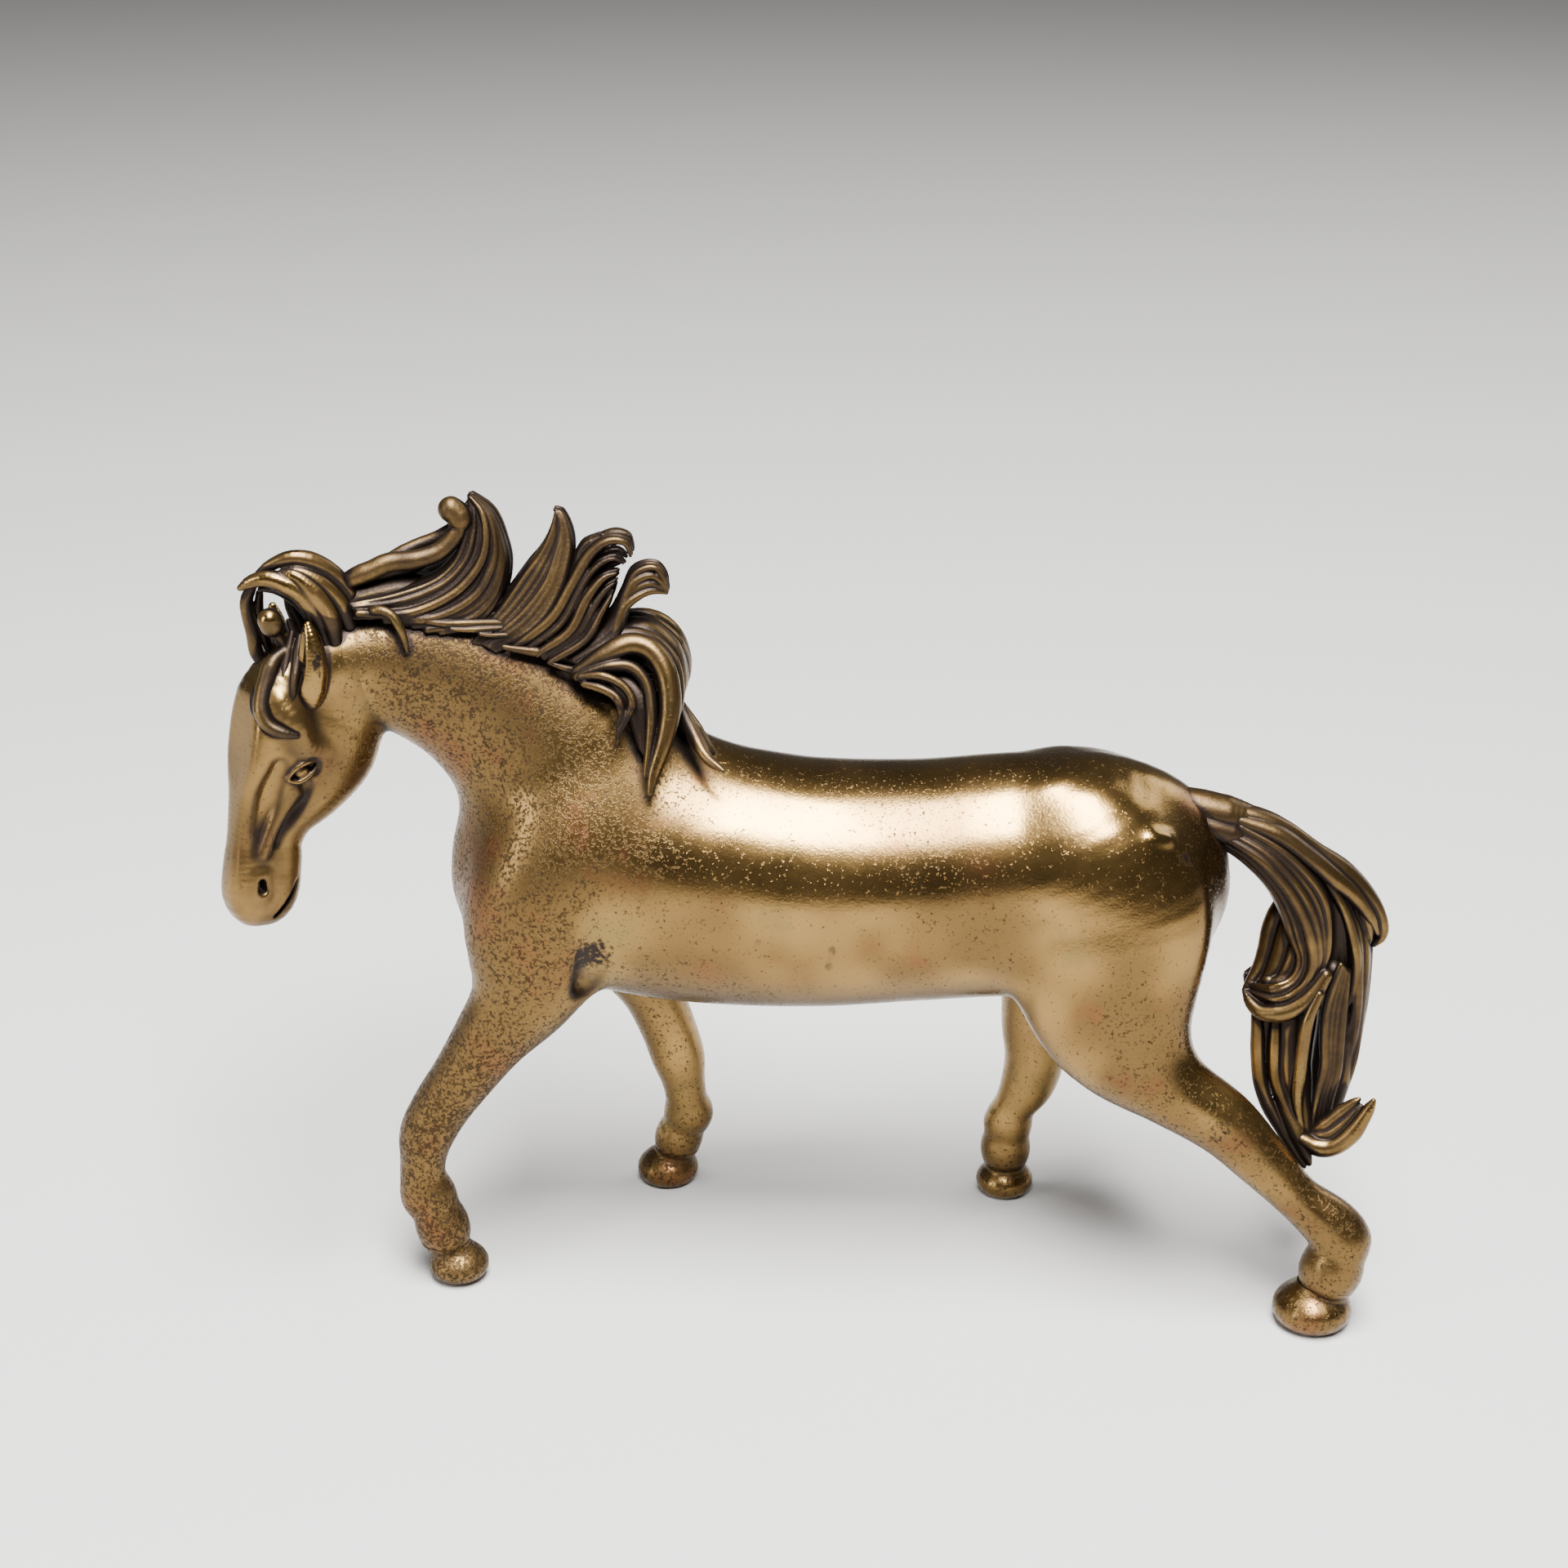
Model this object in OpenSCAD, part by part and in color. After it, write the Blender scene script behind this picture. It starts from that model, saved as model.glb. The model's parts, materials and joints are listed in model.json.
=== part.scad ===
// Small solid bronze horse, walking, with its head turned to its left.
// The horse faces -X, its left side is -Y, and its four soles stand on Z = 0.
// Every section is a loft: stations of [x, y, z, half width, half depth] along a spine.

/* [Body] */
// Width of the barrel, as a share of the drawn one
barrel_width = 1.0; // [0.9:0.01:1.1]
// Thickness of all four legs, as a share of the drawn one
leg_thickness = 1.0; // [0.9:0.01:1.1]
// Thickness of the locks of mane, forelock and tail, as a share of the drawn one
lock_thickness = 1.0; // [0.85:0.01:1.15]

/* [Head] */
// How far the head is turned to the horse's left, in degrees
head_turn = 40; // [34:1:46]
// How far the nose is pushed forward of straight down, in degrees
head_tilt = 13; // [10:1:16]

/* [Hooves] */
// Height of the upright part of a hoof's wall
hoof_wall_h = 0.8; // [0.5:0.1:1]

/* [Fineness] */
// Rings between two stations of the body
body_steps = 3; // [2:1:4]
// Rings between two stations of a lock of hair
lock_steps = 2; // [2:1:3]
// Sides of a body section
body_sides = 20; // [16:2:24]
// Sides of a leg section
leg_sides = 16; // [12:2:20]
// Sides of a lock of hair
lock_sides = 10; // [8:2:12]

/* [Hidden] */

bronze = "#9a7a3f";
hair_bronze = "#7d6031";

// Moves the drawn figure so that the origin is under the middle of its box
figure_shift = [-0.76, -0.15, 0];

across = [0, 1, 0];

// Overlap of neighbouring pieces of a loft, and the share of the ring's size at its end
reach = 0.05;
inset = 0.8;

ball_sides = 12;
hoof_sides = 32;

// Stations of the body
torso_stations = [
    [-21.0, 0, 26.6, 1.6, 2.2],
    [-20.0, 0, 26.5, 3.9, 4.9],
    [-17.5, 0, 26.3, 5.6, 7.0],
    [-13.0, 0, 26.4, 6.6, 8.2],
    [-7.0, 0, 26.4, 7.1, 8.6],
    [0.0, 0, 26.0, 7.2, 7.9],
    [7.0, 0, 26.3, 7.0, 7.6],
    [13.0, 0, 26.8, 6.8, 7.7],
    [18.0, 0, 26.8, 6.5, 7.9],
    [21.4, 0, 26.2, 5.6, 7.0],
    [23.3, 0, 25.6, 3.9, 4.6],
    [24.2, 0, 25.4, 1.8, 2.2]
];
left_shoulder_stations = [
    [-11.5, -2.6, 32.5, 1.4, 2.0],
    [-13.6, -3.6, 30.0, 2.8, 4.2],
    [-15.6, -4.1, 26.5, 3.3, 4.8],
    [-16.6, -4.1, 23.0, 3.1, 4.3],
    [-16.8, -4.0, 20.8, 2.2, 2.9]
];
right_shoulder_stations = [
    [-11.5, 2.6, 32.5, 1.4, 2.0],
    [-13.4, 3.6, 30.0, 2.8, 4.2],
    [-14.8, 4.0, 26.5, 3.3, 4.8],
    [-14.6, 4.0, 23.0, 3.1, 4.3],
    [-14.2, 3.9, 20.8, 2.2, 2.9]
];
left_haunch_stations = [
    [15.0, -2.6, 32.5, 1.5, 2.4],
    [17.4, -3.4, 29.5, 3.2, 5.2],
    [18.9, -4.0, 25.5, 3.7, 6.1],
    [19.0, -4.4, 21.5, 3.4, 5.5],
    [19.2, -4.6, 19.0, 2.2, 3.6]
];
right_haunch_stations = [
    [15.0, 2.6, 32.5, 1.5, 2.4],
    [16.6, 3.4, 29.5, 3.2, 5.0],
    [17.2, 4.0, 25.5, 3.6, 5.6],
    [17.0, 4.4, 21.5, 3.2, 4.4],
    [16.7, 4.6, 19.4, 2.2, 2.8]
];
neck_stations = [
    [-12.5, 0, 29.0, 5.6, 9.4],
    [-14.9, 0, 32.8, 4.9, 8.0],
    [-17.3, -0.1, 35.9, 4.1, 6.4],
    [-19.8, -0.4, 38.2, 3.5, 5.3],
    [-22.5, -1.0, 39.7, 3.1, 4.5],
    [-25.2, -1.9, 40.5, 2.8, 4.0],
    [-27.8, -2.9, 40.7, 2.5, 3.4]
];

// Stations of the head in its own frame: X points out of the forehead, Z up to the poll
skull_at = [-29.5, -3.4, 41.0];
head_stations = [
    [-0.6, 0, 1.0, 1.4, 1.6],
    [-0.1, 0, -0.6, 2.2, 2.6],
    [0.35, 0, -2.8, 2.5, 3.8],
    [0.15, 0, -4.8, 2.5, 4.2],
    [0.4, 0, -6.8, 2.2, 3.7],
    [1.0, 0, -8.8, 1.75, 2.8],
    [1.25, 0, -10.8, 1.5, 2.35],
    [1.15, 0, -12.6, 1.6, 2.4],
    [1.05, 0, -14.0, 1.7, 2.3],
    [0.95, 0, -15.2, 1.2, 1.6],
    [0.9, 0, -15.8, 0.5, 0.7]
];
jowl_stations = [
    [-1.5, 0, -0.8, 1.8, 1.6],
    [-1.8, 0, -2.8, 2.6, 2.7],
    [-1.7, 0, -5.0, 2.7, 2.9],
    [-0.9, 0, -7.1, 2.15, 2.1],
    [0.1, 0, -8.6, 1.4, 1.2]
];
brow_stations = [
    [2.4, -1.5, -2.0, 0.6, 0.6],
    [1.8, -1.9, -3.0, 0.9, 0.9],
    [0.9, -2.1, -4.2, 0.8, 0.7],
    [-0.2, -2.0, -4.8, 0.4, 0.4]
];
ear_stations = [
    [-0.5, -1.6, -2.0, 0.7, 0.6],
    [-0.4, -2.0, -0.7, 1.0, 0.8],
    [-0.2, -2.2, 0.8, 0.95, 0.7],
    [0.0, -2.2, 2.2, 0.65, 0.5],
    [0.1, -2.2, 3.2, 0.2, 0.2]
];
ear_hollow_stations = [
    [0.2, -2.0, -1.0, 0.3, 0.3],
    [0.3, -2.1, -0.2, 0.6, 0.5],
    [0.5, -2.2, 1.0, 0.55, 0.5],
    [0.6, -2.2, 2.4, 0.2, 0.3]
];

// Eyeball, nostril and mouth, for the left side
eye_at = [0.75, -2.2, -5.95];
eye_size = [0.75, 0.45, 0.45];
nostril_at = [1.9, -1.75, -13.3];
nostril_size = [0.35, 0.6, 0.7];
mouth_at = [0.0, -1.7, -14.2];
mouth_size = [2.4, 0.9, 0.3];
mouth_slope = 64;

// Stations of the legs, from inside the torso down to the coronet
left_foreleg_stations = [
    [-15.8, -3.9, 22.5, 2.6, 3.6],
    [-17.1, -4.2, 20.0, 2.6, 3.2],
    [-19.2, -4.4, 17.2, 2.3, 2.5],
    [-21.2, -4.6, 14.4, 1.95, 2.05],
    [-23.0, -4.8, 11.8, 1.8, 1.85],
    [-23.9, -4.9, 9.3, 1.6, 1.65],
    [-24.2, -5.0, 7.3, 1.45, 1.5],
    [-23.8, -5.0, 5.9, 1.65, 1.8],
    [-23.2, -5.0, 4.9, 1.4, 1.5],
    [-23.0, -5.0, 4.1, 1.7, 1.75],
    [-22.8, -5.0, 3.4, 1.7, 1.75],
    [-22.7, -5.0, 2.6, 1.35, 1.35]
];
right_foreleg_stations = [
    [-13.8, 3.9, 22.5, 2.6, 3.4],
    [-11.9, 4.6, 19.0, 2.5, 2.5],
    [-10.4, 5.6, 15.6, 2.1, 2.0],
    [-9.4, 6.4, 12.2, 1.85, 1.95],
    [-8.7, 6.9, 9.3, 1.75, 1.8],
    [-8.4, 7.3, 7.0, 1.5, 1.55],
    [-8.2, 7.7, 5.5, 1.6, 1.7],
    [-8.5, 7.9, 4.5, 1.35, 1.45],
    [-8.8, 8.0, 3.8, 1.6, 1.65],
    [-9.0, 8.0, 3.1, 1.6, 1.65],
    [-9.1, 8.0, 2.3, 1.25, 1.25]
];
left_hind_leg_stations = [
    [18.0, -3.8, 23.5, 3.2, 5.2],
    [18.8, -4.4, 20.5, 3.4, 5.1],
    [19.9, -4.9, 17.8, 3.1, 3.9],
    [22.6, -5.5, 15.3, 2.5, 2.6],
    [25.9, -6.1, 13.2, 2.0, 2.2],
    [28.3, -6.5, 10.9, 1.7, 1.75],
    [30.6, -6.9, 8.4, 1.55, 1.5],
    [32.6, -7.2, 7.0, 1.65, 1.8],
    [33.5, -7.4, 5.9, 1.7, 1.85],
    [33.3, -7.5, 5.1, 1.6, 1.65],
    [33.1, -7.5, 4.3, 1.9, 1.95],
    [32.9, -7.5, 3.7, 1.9, 1.95],
    [32.7, -7.5, 2.8, 1.5, 1.5]
];
right_hind_leg_stations = [
    [16.6, 3.8, 23.5, 3.1, 4.6],
    [16.0, 4.6, 20.0, 3.0, 3.6],
    [15.2, 5.4, 16.6, 2.6, 2.7],
    [14.7, 6.0, 13.6, 2.1, 2.3],
    [14.9, 6.5, 11.0, 1.85, 2.0],
    [14.5, 6.9, 8.6, 1.7, 1.9],
    [13.6, 7.2, 6.6, 1.5, 1.55],
    [13.3, 7.4, 5.4, 1.55, 1.7],
    [13.3, 7.5, 4.5, 1.35, 1.5],
    [13.2, 7.6, 3.7, 1.65, 1.7],
    [13.2, 7.6, 3.1, 1.65, 1.7],
    [13.2, 7.6, 2.3, 1.25, 1.25]
];

// Hooves: [sole centre x, y, sole radius, top centre x, y, top height, top radius]
left_fore_hoof_size = [-21.95, -5.0, 1.95, -22.6, -5.0, 3.0, 1.6];
right_fore_hoof_size = [-9.7, 8.1, 2.1, -9.0, 8.0, 2.8, 1.6];
left_hind_hoof_size = [32.0, -7.5, 2.4, 32.9, -7.5, 3.3, 1.8];
right_hind_hoof_size = [13.2, 7.7, 1.95, 13.2, 7.6, 2.7, 1.6];

// Locks of hair
forelock_crown_stations = [
    [-26.6, -3.3, 43.4, 0.9, 0.9], [-27.5, -4.0, 46.1, 0.9, 0.9], [-29.5, -4.4, 47.8, 0.8, 0.8],
    [-31.2, -4.6, 47.6, 0.6, 0.6], [-32.0, -4.6, 47.0, 0.3, 0.3]
];
forelock_arch_stations = [
    [-27.8, -4.6, 42.6, 1.0, 1.0], [-28.4, -4.9, 44.6, 1.0, 1.0], [-30.0, -5.0, 46.2, 1.0, 0.9],
    [-31.8, -5.0, 46.7, 0.9, 0.8], [-33.2, -5.0, 45.9, 0.4, 0.4]
];
forelock_side_stations = [
    [-32.5, -4.8, 46.0, 0.5, 0.5], [-32.6, -4.8, 44.2, 0.5, 0.5], [-32.3, -4.8, 42.4, 0.5, 0.5],
    [-31.8, -4.8, 41.2, 0.6, 0.6], [-31.2, -4.8, 40.0, 0.6, 0.6]
];
forelock_curl_stations = [
    [-30.6, -4.4, 41.0, 0.8, 0.8], [-30.8, -4.8, 42.4, 0.6, 0.6], [-31.2, -5.2, 43.4, 0.6, 0.6],
    [-31.4, -5.4, 44.2, 0.9, 0.8], [-31.4, -5.4, 44.9, 0.3, 0.3]
];
forelock_brow_stations = [
    [-30.4, -5.0, 42.2, 0.5, 0.5], [-31.0, -5.9, 41.2, 0.7, 0.6], [-31.4, -6.6, 39.9, 0.6, 0.55],
    [-31.3, -7.1, 38.8, 0.5, 0.5], [-30.4, -7.4, 38.1, 0.45, 0.4], [-29.2, -7.4, 37.8, 0.2, 0.2]
];
mane_crest_stations = [
    [-6.4, 0, 34.6, 0.6, 0.6], [-8.2, 0, 36.6, 1.2, 1.4], [-11.0, 0, 39.6, 1.4, 1.8], [-14.0, 0, 41.8, 1.4, 1.8],
    [-17.5, -0.2, 43.4, 1.4, 1.7], [-21.0, -0.8, 44.4, 1.4, 1.6], [-24.5, -1.8, 45.0, 1.3, 1.4],
    [-27.2, -2.8, 44.8, 1.2, 1.3], [-28.4, -3.3, 44.2, 0.5, 0.6]
];
mane_poll_stations = [
    [-27.4, -2.8, 45.2, 0.5, 0.5], [-26.2, -2.6, 46.2, 0.8, 0.8], [-24.4, -2.3, 46.9, 0.9, 0.8],
    [-22.6, -2.0, 46.9, 0.8, 0.8], [-21.2, -1.7, 47.9, 0.8, 0.8], [-20.6, -1.5, 49.4, 0.8, 0.8],
    [-20.8, -1.5, 50.4, 0.9, 0.9], [-20.9, -1.5, 51.1, 0.3, 0.3]
];
mane_front_curl_stations = [
    [-20.2, -0.2, 43.6, 1.1, 3.0], [-20.0, -0.2, 45.6, 1.1, 2.3], [-19.7, -0.4, 47.6, 1.1, 1.6],
    [-19.7, -0.6, 49.3, 1.0, 1.0], [-20.2, -0.8, 50.4, 0.8, 0.6], [-21.0, -1.0, 50.6, 0.4, 0.4]
];
mane_spire_stations = [
    [-16.0, 0.0, 42.6, 1.0, 2.0], [-15.8, 0.1, 45.0, 1.0, 1.6], [-15.2, 0.2, 47.0, 0.8, 1.1],
    [-14.4, 0.3, 48.8, 0.6, 0.7], [-14.8, 0.3, 50.0, 0.2, 0.2]
];
mane_rear_curl_stations = [
    [-14.6, 0.0, 41.5, 1.0, 2.0], [-13.4, -0.1, 44.0, 1.0, 1.5], [-12.2, -0.2, 46.4, 0.9, 1.0],
    [-11.0, -0.3, 47.6, 0.9, 0.8], [-10.2, -0.3, 47.2, 0.7, 0.7], [-10.2, -0.3, 46.4, 0.3, 0.3]
];
mane_flick_stations = [
    [-12.4, 0.2, 40.6, 1.0, 1.8], [-11.2, 0.3, 43.0, 0.9, 1.3], [-10.0, 0.3, 45.0, 0.8, 0.9],
    [-8.9, 0.3, 45.4, 0.7, 0.7], [-8.1, 0.2, 44.6, 0.2, 0.2]
];
mane_withers_stations = [
    [-13.2, -1.2, 40.2, 0.7, 0.7], [-11.8, -1.6, 41.6, 0.9, 0.9], [-10.0, -2.0, 42.2, 1.0, 1.0],
    [-8.4, -2.6, 41.0, 1.0, 1.0], [-7.8, -3.2, 38.9, 1.0, 0.9], [-8.1, -3.9, 36.7, 0.9, 0.8],
    [-8.9, -4.7, 34.8, 0.8, 0.6], [-9.4, -5.4, 33.4, 0.3, 0.3]
];
mane_inner_stations = [
    [-12.0, -2.2, 40.6, 0.5, 0.4], [-10.8, -2.8, 39.9, 0.6, 0.5], [-10.1, -3.2, 38.8, 0.6, 0.5],
    [-10.2, -3.5, 37.6, 0.5, 0.4], [-10.6, -3.7, 36.6, 0.2, 0.2]
];
mane_end_stations = [
    [-8.0, -0.6, 38.6, 0.5, 0.5], [-7.5, -1.8, 37.8, 0.7, 0.6], [-6.8, -3.0, 36.7, 0.7, 0.6],
    [-5.8, -3.9, 35.7, 0.6, 0.5], [-4.6, -4.6, 35.2, 0.2, 0.2]
];
mane_neck_stations = [
    [-25.8, -3.4, 44.4, 0.3, 0.3], [-24.9, -3.6, 44.3, 0.5, 0.4], [-24.1, -3.8, 43.6, 0.5, 0.4],
    [-23.6, -3.8, 42.5, 0.2, 0.2]
];
tail_dock_stations = [
    [21.0, 0, 31.4, 1.4, 1.4], [22.6, 0, 31.9, 1.4, 1.4], [24.6, 0, 31.6, 1.3, 1.3], [26.6, 0, 31.0, 1.1, 1.2]
];
tail_top_stations = [
    [26.0, 0.2, 31.6, 0.9, 0.8], [28.5, 0.0, 30.9, 1.0, 0.8], [31.0, -0.2, 29.4, 1.0, 0.9],
    [33.4, -0.4, 27.2, 1.0, 0.9], [35.3, -0.6, 24.8, 0.9, 0.8], [35.7, -0.7, 23.2, 0.5, 0.5],
    [35.2, -0.7, 22.6, 0.2, 0.2]
];
tail_inner_stations = [
    [25.6, 0.0, 30.4, 0.9, 0.9], [27.8, -0.3, 29.3, 1.2, 1.3], [29.8, -0.8, 27.0, 1.4, 1.6],
    [31.0, -1.4, 24.0, 1.5, 1.7], [30.8, -2.0, 21.2, 1.5, 1.6], [29.6, -2.6, 19.2, 1.3, 1.3],
    [28.3, -3.0, 18.4, 0.5, 0.6]
];
tail_back_stations = [
    [30.2, 0.2, 28.6, 0.7, 0.7], [32.6, 0.0, 25.8, 1.0, 1.0], [34.0, -0.4, 22.6, 1.2, 1.3],
    [34.2, -1.2, 19.0, 1.2, 1.4], [33.8, -2.2, 15.4, 1.1, 1.2], [33.4, -3.0, 12.4, 0.9, 0.9],
    [33.0, -3.4, 10.4, 0.4, 0.4]
];
tail_lower_stations = [
    [29.4, -2.6, 20.2, 0.8, 1.0], [28.9, -3.0, 17.8, 1.1, 1.2], [29.0, -3.6, 15.4, 1.1, 1.2],
    [29.9, -4.2, 13.0, 1.0, 1.0], [31.2, -4.8, 10.8, 0.8, 0.8], [32.6, -5.2, 9.0, 0.3, 0.3]
];
tail_middle_stations = [
    [32.6, -1.6, 20.0, 0.7, 0.7], [32.2, -2.4, 17.4, 1.0, 1.1], [31.8, -3.2, 14.6, 1.1, 1.1],
    [32.2, -4.0, 11.8, 1.0, 1.0], [33.0, -4.6, 9.6, 0.5, 0.5]
];
tail_tip_stations = [
    [31.8, -4.6, 11.2, 0.4, 0.4], [32.8, -4.9, 11.1, 0.7, 0.7], [34.0, -5.1, 12.0, 0.8, 0.7],
    [34.8, -5.2, 13.5, 0.6, 0.6], [35.2, -5.2, 14.8, 0.2, 0.2]
];
tail_far_stations = [
    [30.8, 0.4, 26.0, 0.5, 0.6], [30.6, 1.0, 23.6, 0.8, 1.0], [29.7, 1.2, 21.4, 0.9, 1.1],
    [28.9, 0.6, 19.4, 0.8, 0.9], [28.8, -0.4, 17.8, 0.3, 0.4]
];

// A point of the curve through four stations, at a share u of the way from b to c
function between(a, b, c, d, u) =
    0.5 * (2 * b + (c - a) * u + (2 * a - 5 * b + 4 * c - d) * u * u
        + (3 * b - a - 3 * c + d) * u * u * u);

// All stations, with further ones between neighbours
function refined(stations, steps) = let (last = len(stations) - 1) [
    for (i = [0 : last - 1], k = [0 : steps - 1])
        between(stations[max(i - 1, 0)], stations[i], stations[i + 1],
            stations[min(i + 2, last)], k / steps),
    stations[last]
];

function place(station) = [station[0], station[1], station[2]];
function unit(v) = v / norm(v);
function spine(stations, i) = let (last = len(stations) - 1)
    unit(place(stations[min(i + 1, last)]) - place(stations[max(i - 1, 0)]));

// Points of the ring at station i, square to the spine, with its width across the horse
function ring(stations, i, sides, size = 1, push = 0) =
    let (
        along = spine(stations, i),
        wide = unit(across - (across * along) * along),
        deep = cross(along, wide)
    )
    [for (k = [0 : sides - 1]) let (a = 360 * k / sides)
        place(stations[i]) + push * along
            + size * (stations[i][3] * cos(a) * wide + stations[i][4] * sin(a) * deep)];

// A solid through all the stations, one convex piece for each gap between two rings;
// every piece but the last reaches a little way into the next one
module loft(stations, sides, steps) {
    fine = refined(stations, steps);
    gaps = len(fine) - 1;
    for (i = [0 : gaps - 1]) {
        rings = concat(
            [ring(fine, i, sides), ring(fine, i + 1, sides)],
            i < gaps - 1 ? [ring(fine, i + 1, sides, inset, reach)] : []
        );
        hull()
            polyhedron(
                points = [for (r = rings, p = r) p],
                faces = [for (r = [0 : len(rings) - 1]) [for (k = [0 : sides - 1]) r * sides + k]]
            );
    }
}

function scaled(stations, width, depth) =
    [for (s = stations) [s[0], s[1], s[2], s[3] * width, s[4] * depth]];

module body_form(stations, width = 1, depth = 1) {
    loft(scaled(stations, width, depth), body_sides, body_steps);
}

module leg_form(stations) {
    loft(scaled(stations, leg_thickness, leg_thickness), leg_sides, body_steps);
}

module lock_form(stations) {
    loft(scaled(stations, lock_thickness, lock_thickness), lock_sides, lock_steps);
}

module torso_form() {
    body_form(torso_stations, barrel_width);
    body_form(left_shoulder_stations);
    body_form(right_shoulder_stations);
    body_form(left_haunch_stations);
    body_form(right_haunch_stations);
}

module neck_form() {
    body_form(neck_stations);
}

module head_frame() {
    translate(skull_at)
        rotate([0, 0, head_turn])
            mirror([1, 0, 0])
                rotate([0, -head_tilt, 0])
                    children();
}

module ball(at, size) {
    translate(at) scale(size) sphere(r = 1, $fn = ball_sides);
}

module head_form() {
    head_frame() {
        difference() {
            union() {
                body_form(head_stations);
                body_form(jowl_stations);
                for (side = [0, 1]) mirror([0, side, 0]) lock_form(brow_stations);
            }
            for (side = [0, 1]) mirror([0, side, 0]) {
                ball(nostril_at, nostril_size);
                translate(mouth_at) rotate([0, mouth_slope, 0]) cube(mouth_size, center = true);
            }
        }
        for (side = [0, 1]) mirror([0, side, 0]) ball(eye_at, eye_size);
    }
}

module ear_form(side) {
    head_frame()
        mirror([0, side, 0])
            difference() {
                lock_form(ear_stations);
                lock_form(ear_hollow_stations);
            }
}

module hoof(size) {
    color(bronze) {
        translate([size[0], size[1], 0])
            linear_extrude(height = hoof_wall_h)
                circle(r = size[2], $fn = hoof_sides);
        hull() {
            translate([size[0], size[1], hoof_wall_h])
                cylinder(r = size[2], h = reach, $fn = hoof_sides);
            translate([size[3], size[4], size[5] - reach])
                cylinder(r = size[6], h = reach, $fn = hoof_sides);
        }
    }
}

module torso() {
    color(bronze) torso_form();
}

module neck() {
    color(bronze) difference() {
        neck_form();
        torso_form();
        head_form();
    }
}

module head() {
    color(bronze) head_form();
}

module ear(side) {
    color(bronze) difference() {
        ear_form(side);
        head_form();
    }
}

// A leg, coped to the torso and cut off flat at the top of its hoof
module leg(stations, hoof_size) {
    color(bronze) difference() {
        leg_form(stations);
        torso_form();
        translate([hoof_size[3], hoof_size[4], 0])
            cylinder(r = 2 * hoof_size[2], h = hoof_size[5], $fn = hoof_sides);
    }
}

// A lock of hair, coped to whatever it grows from
module lock(stations) {
    color(hair_bronze) difference() {
        lock_form(stations);
        children();
    }
}

module poll_form() {
    neck_form();
    head_form();
}

module crest_form() {
    neck_form();
    lock_form(mane_crest_stations);
}

translate(figure_shift) {
    torso();
    neck();
    head();
    ear(0);  // left_ear
    ear(1);  // right_ear
    leg(left_foreleg_stations, left_fore_hoof_size);  // left_foreleg
    leg(right_foreleg_stations, right_fore_hoof_size);  // right_foreleg
    leg(left_hind_leg_stations, left_hind_hoof_size);  // left_hind_leg
    leg(right_hind_leg_stations, right_hind_hoof_size);  // right_hind_leg
    hoof(left_fore_hoof_size);  // left_fore_hoof
    hoof(right_fore_hoof_size);  // right_fore_hoof
    hoof(left_hind_hoof_size);  // left_hind_hoof
    hoof(right_hind_hoof_size);  // right_hind_hoof
    lock(forelock_crown_stations) poll_form();  // forelock_crown_lock
    lock(forelock_arch_stations) {  // forelock_arch_lock
        poll_form();
        lock_form(forelock_crown_stations);
        ear_form(0);
    }
    lock(forelock_side_stations) {  // forelock_side_wisp
        poll_form();
        lock_form(forelock_arch_stations);
        ear_form(1);
    }
    lock(forelock_curl_stations) poll_form();  // forelock_curl
    lock(forelock_brow_stations) {  // forelock_brow_lock
        poll_form();
        lock_form(forelock_curl_stations);
    }
    lock(mane_crest_stations) {  // mane_crest
        torso_form();
        poll_form();
        lock_form(forelock_crown_stations);
    }
    lock(mane_poll_stations) crest_form();  // mane_poll_lock
    lock(mane_front_curl_stations) {  // mane_front_curl
        crest_form();
        lock_form(mane_poll_stations);
    }
    lock(mane_spire_stations) {  // mane_spire
        crest_form();
        lock_form(mane_front_curl_stations);
    }
    lock(mane_rear_curl_stations) {  // mane_rear_curl
        crest_form();
        lock_form(mane_spire_stations);
    }
    lock(mane_flick_stations) {  // mane_flick
        crest_form();
        lock_form(mane_rear_curl_stations);
    }
    lock(mane_withers_stations) {  // mane_withers_lock
        crest_form();
        torso_form();
    }
    lock(mane_inner_stations) {  // mane_inner_wisp
        crest_form();
        lock_form(mane_withers_stations);
    }
    lock(mane_end_stations) {  // mane_end_lock
        crest_form();
        torso_form();
        lock_form(mane_withers_stations);
    }
    lock(mane_neck_stations) crest_form();  // mane_neck_wisp
    lock(tail_dock_stations) torso_form();  // tail_dock
    lock(tail_top_stations) lock_form(tail_dock_stations);  // tail_top_lock
    lock(tail_inner_stations) {  // tail_inner_lock
        lock_form(tail_dock_stations);
        lock_form(tail_top_stations);
    }
    lock(tail_back_stations) {  // tail_back_lock
        lock_form(tail_top_stations);
        lock_form(tail_inner_stations);
    }
    lock(tail_far_stations) lock_form(tail_inner_stations);  // tail_far_lock
    lock(tail_lower_stations) {  // tail_lower_lock
        lock_form(tail_inner_stations);
        leg_form(left_hind_leg_stations);
    }
    lock(tail_middle_stations) {  // tail_middle_lock
        lock_form(tail_inner_stations);
        lock_form(tail_back_stations);
        lock_form(tail_lower_stations);
    }
    lock(tail_tip_stations) {  // tail_tip_curl
        lock_form(tail_lower_stations);
        lock_form(tail_middle_stations);
    }
}
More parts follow.
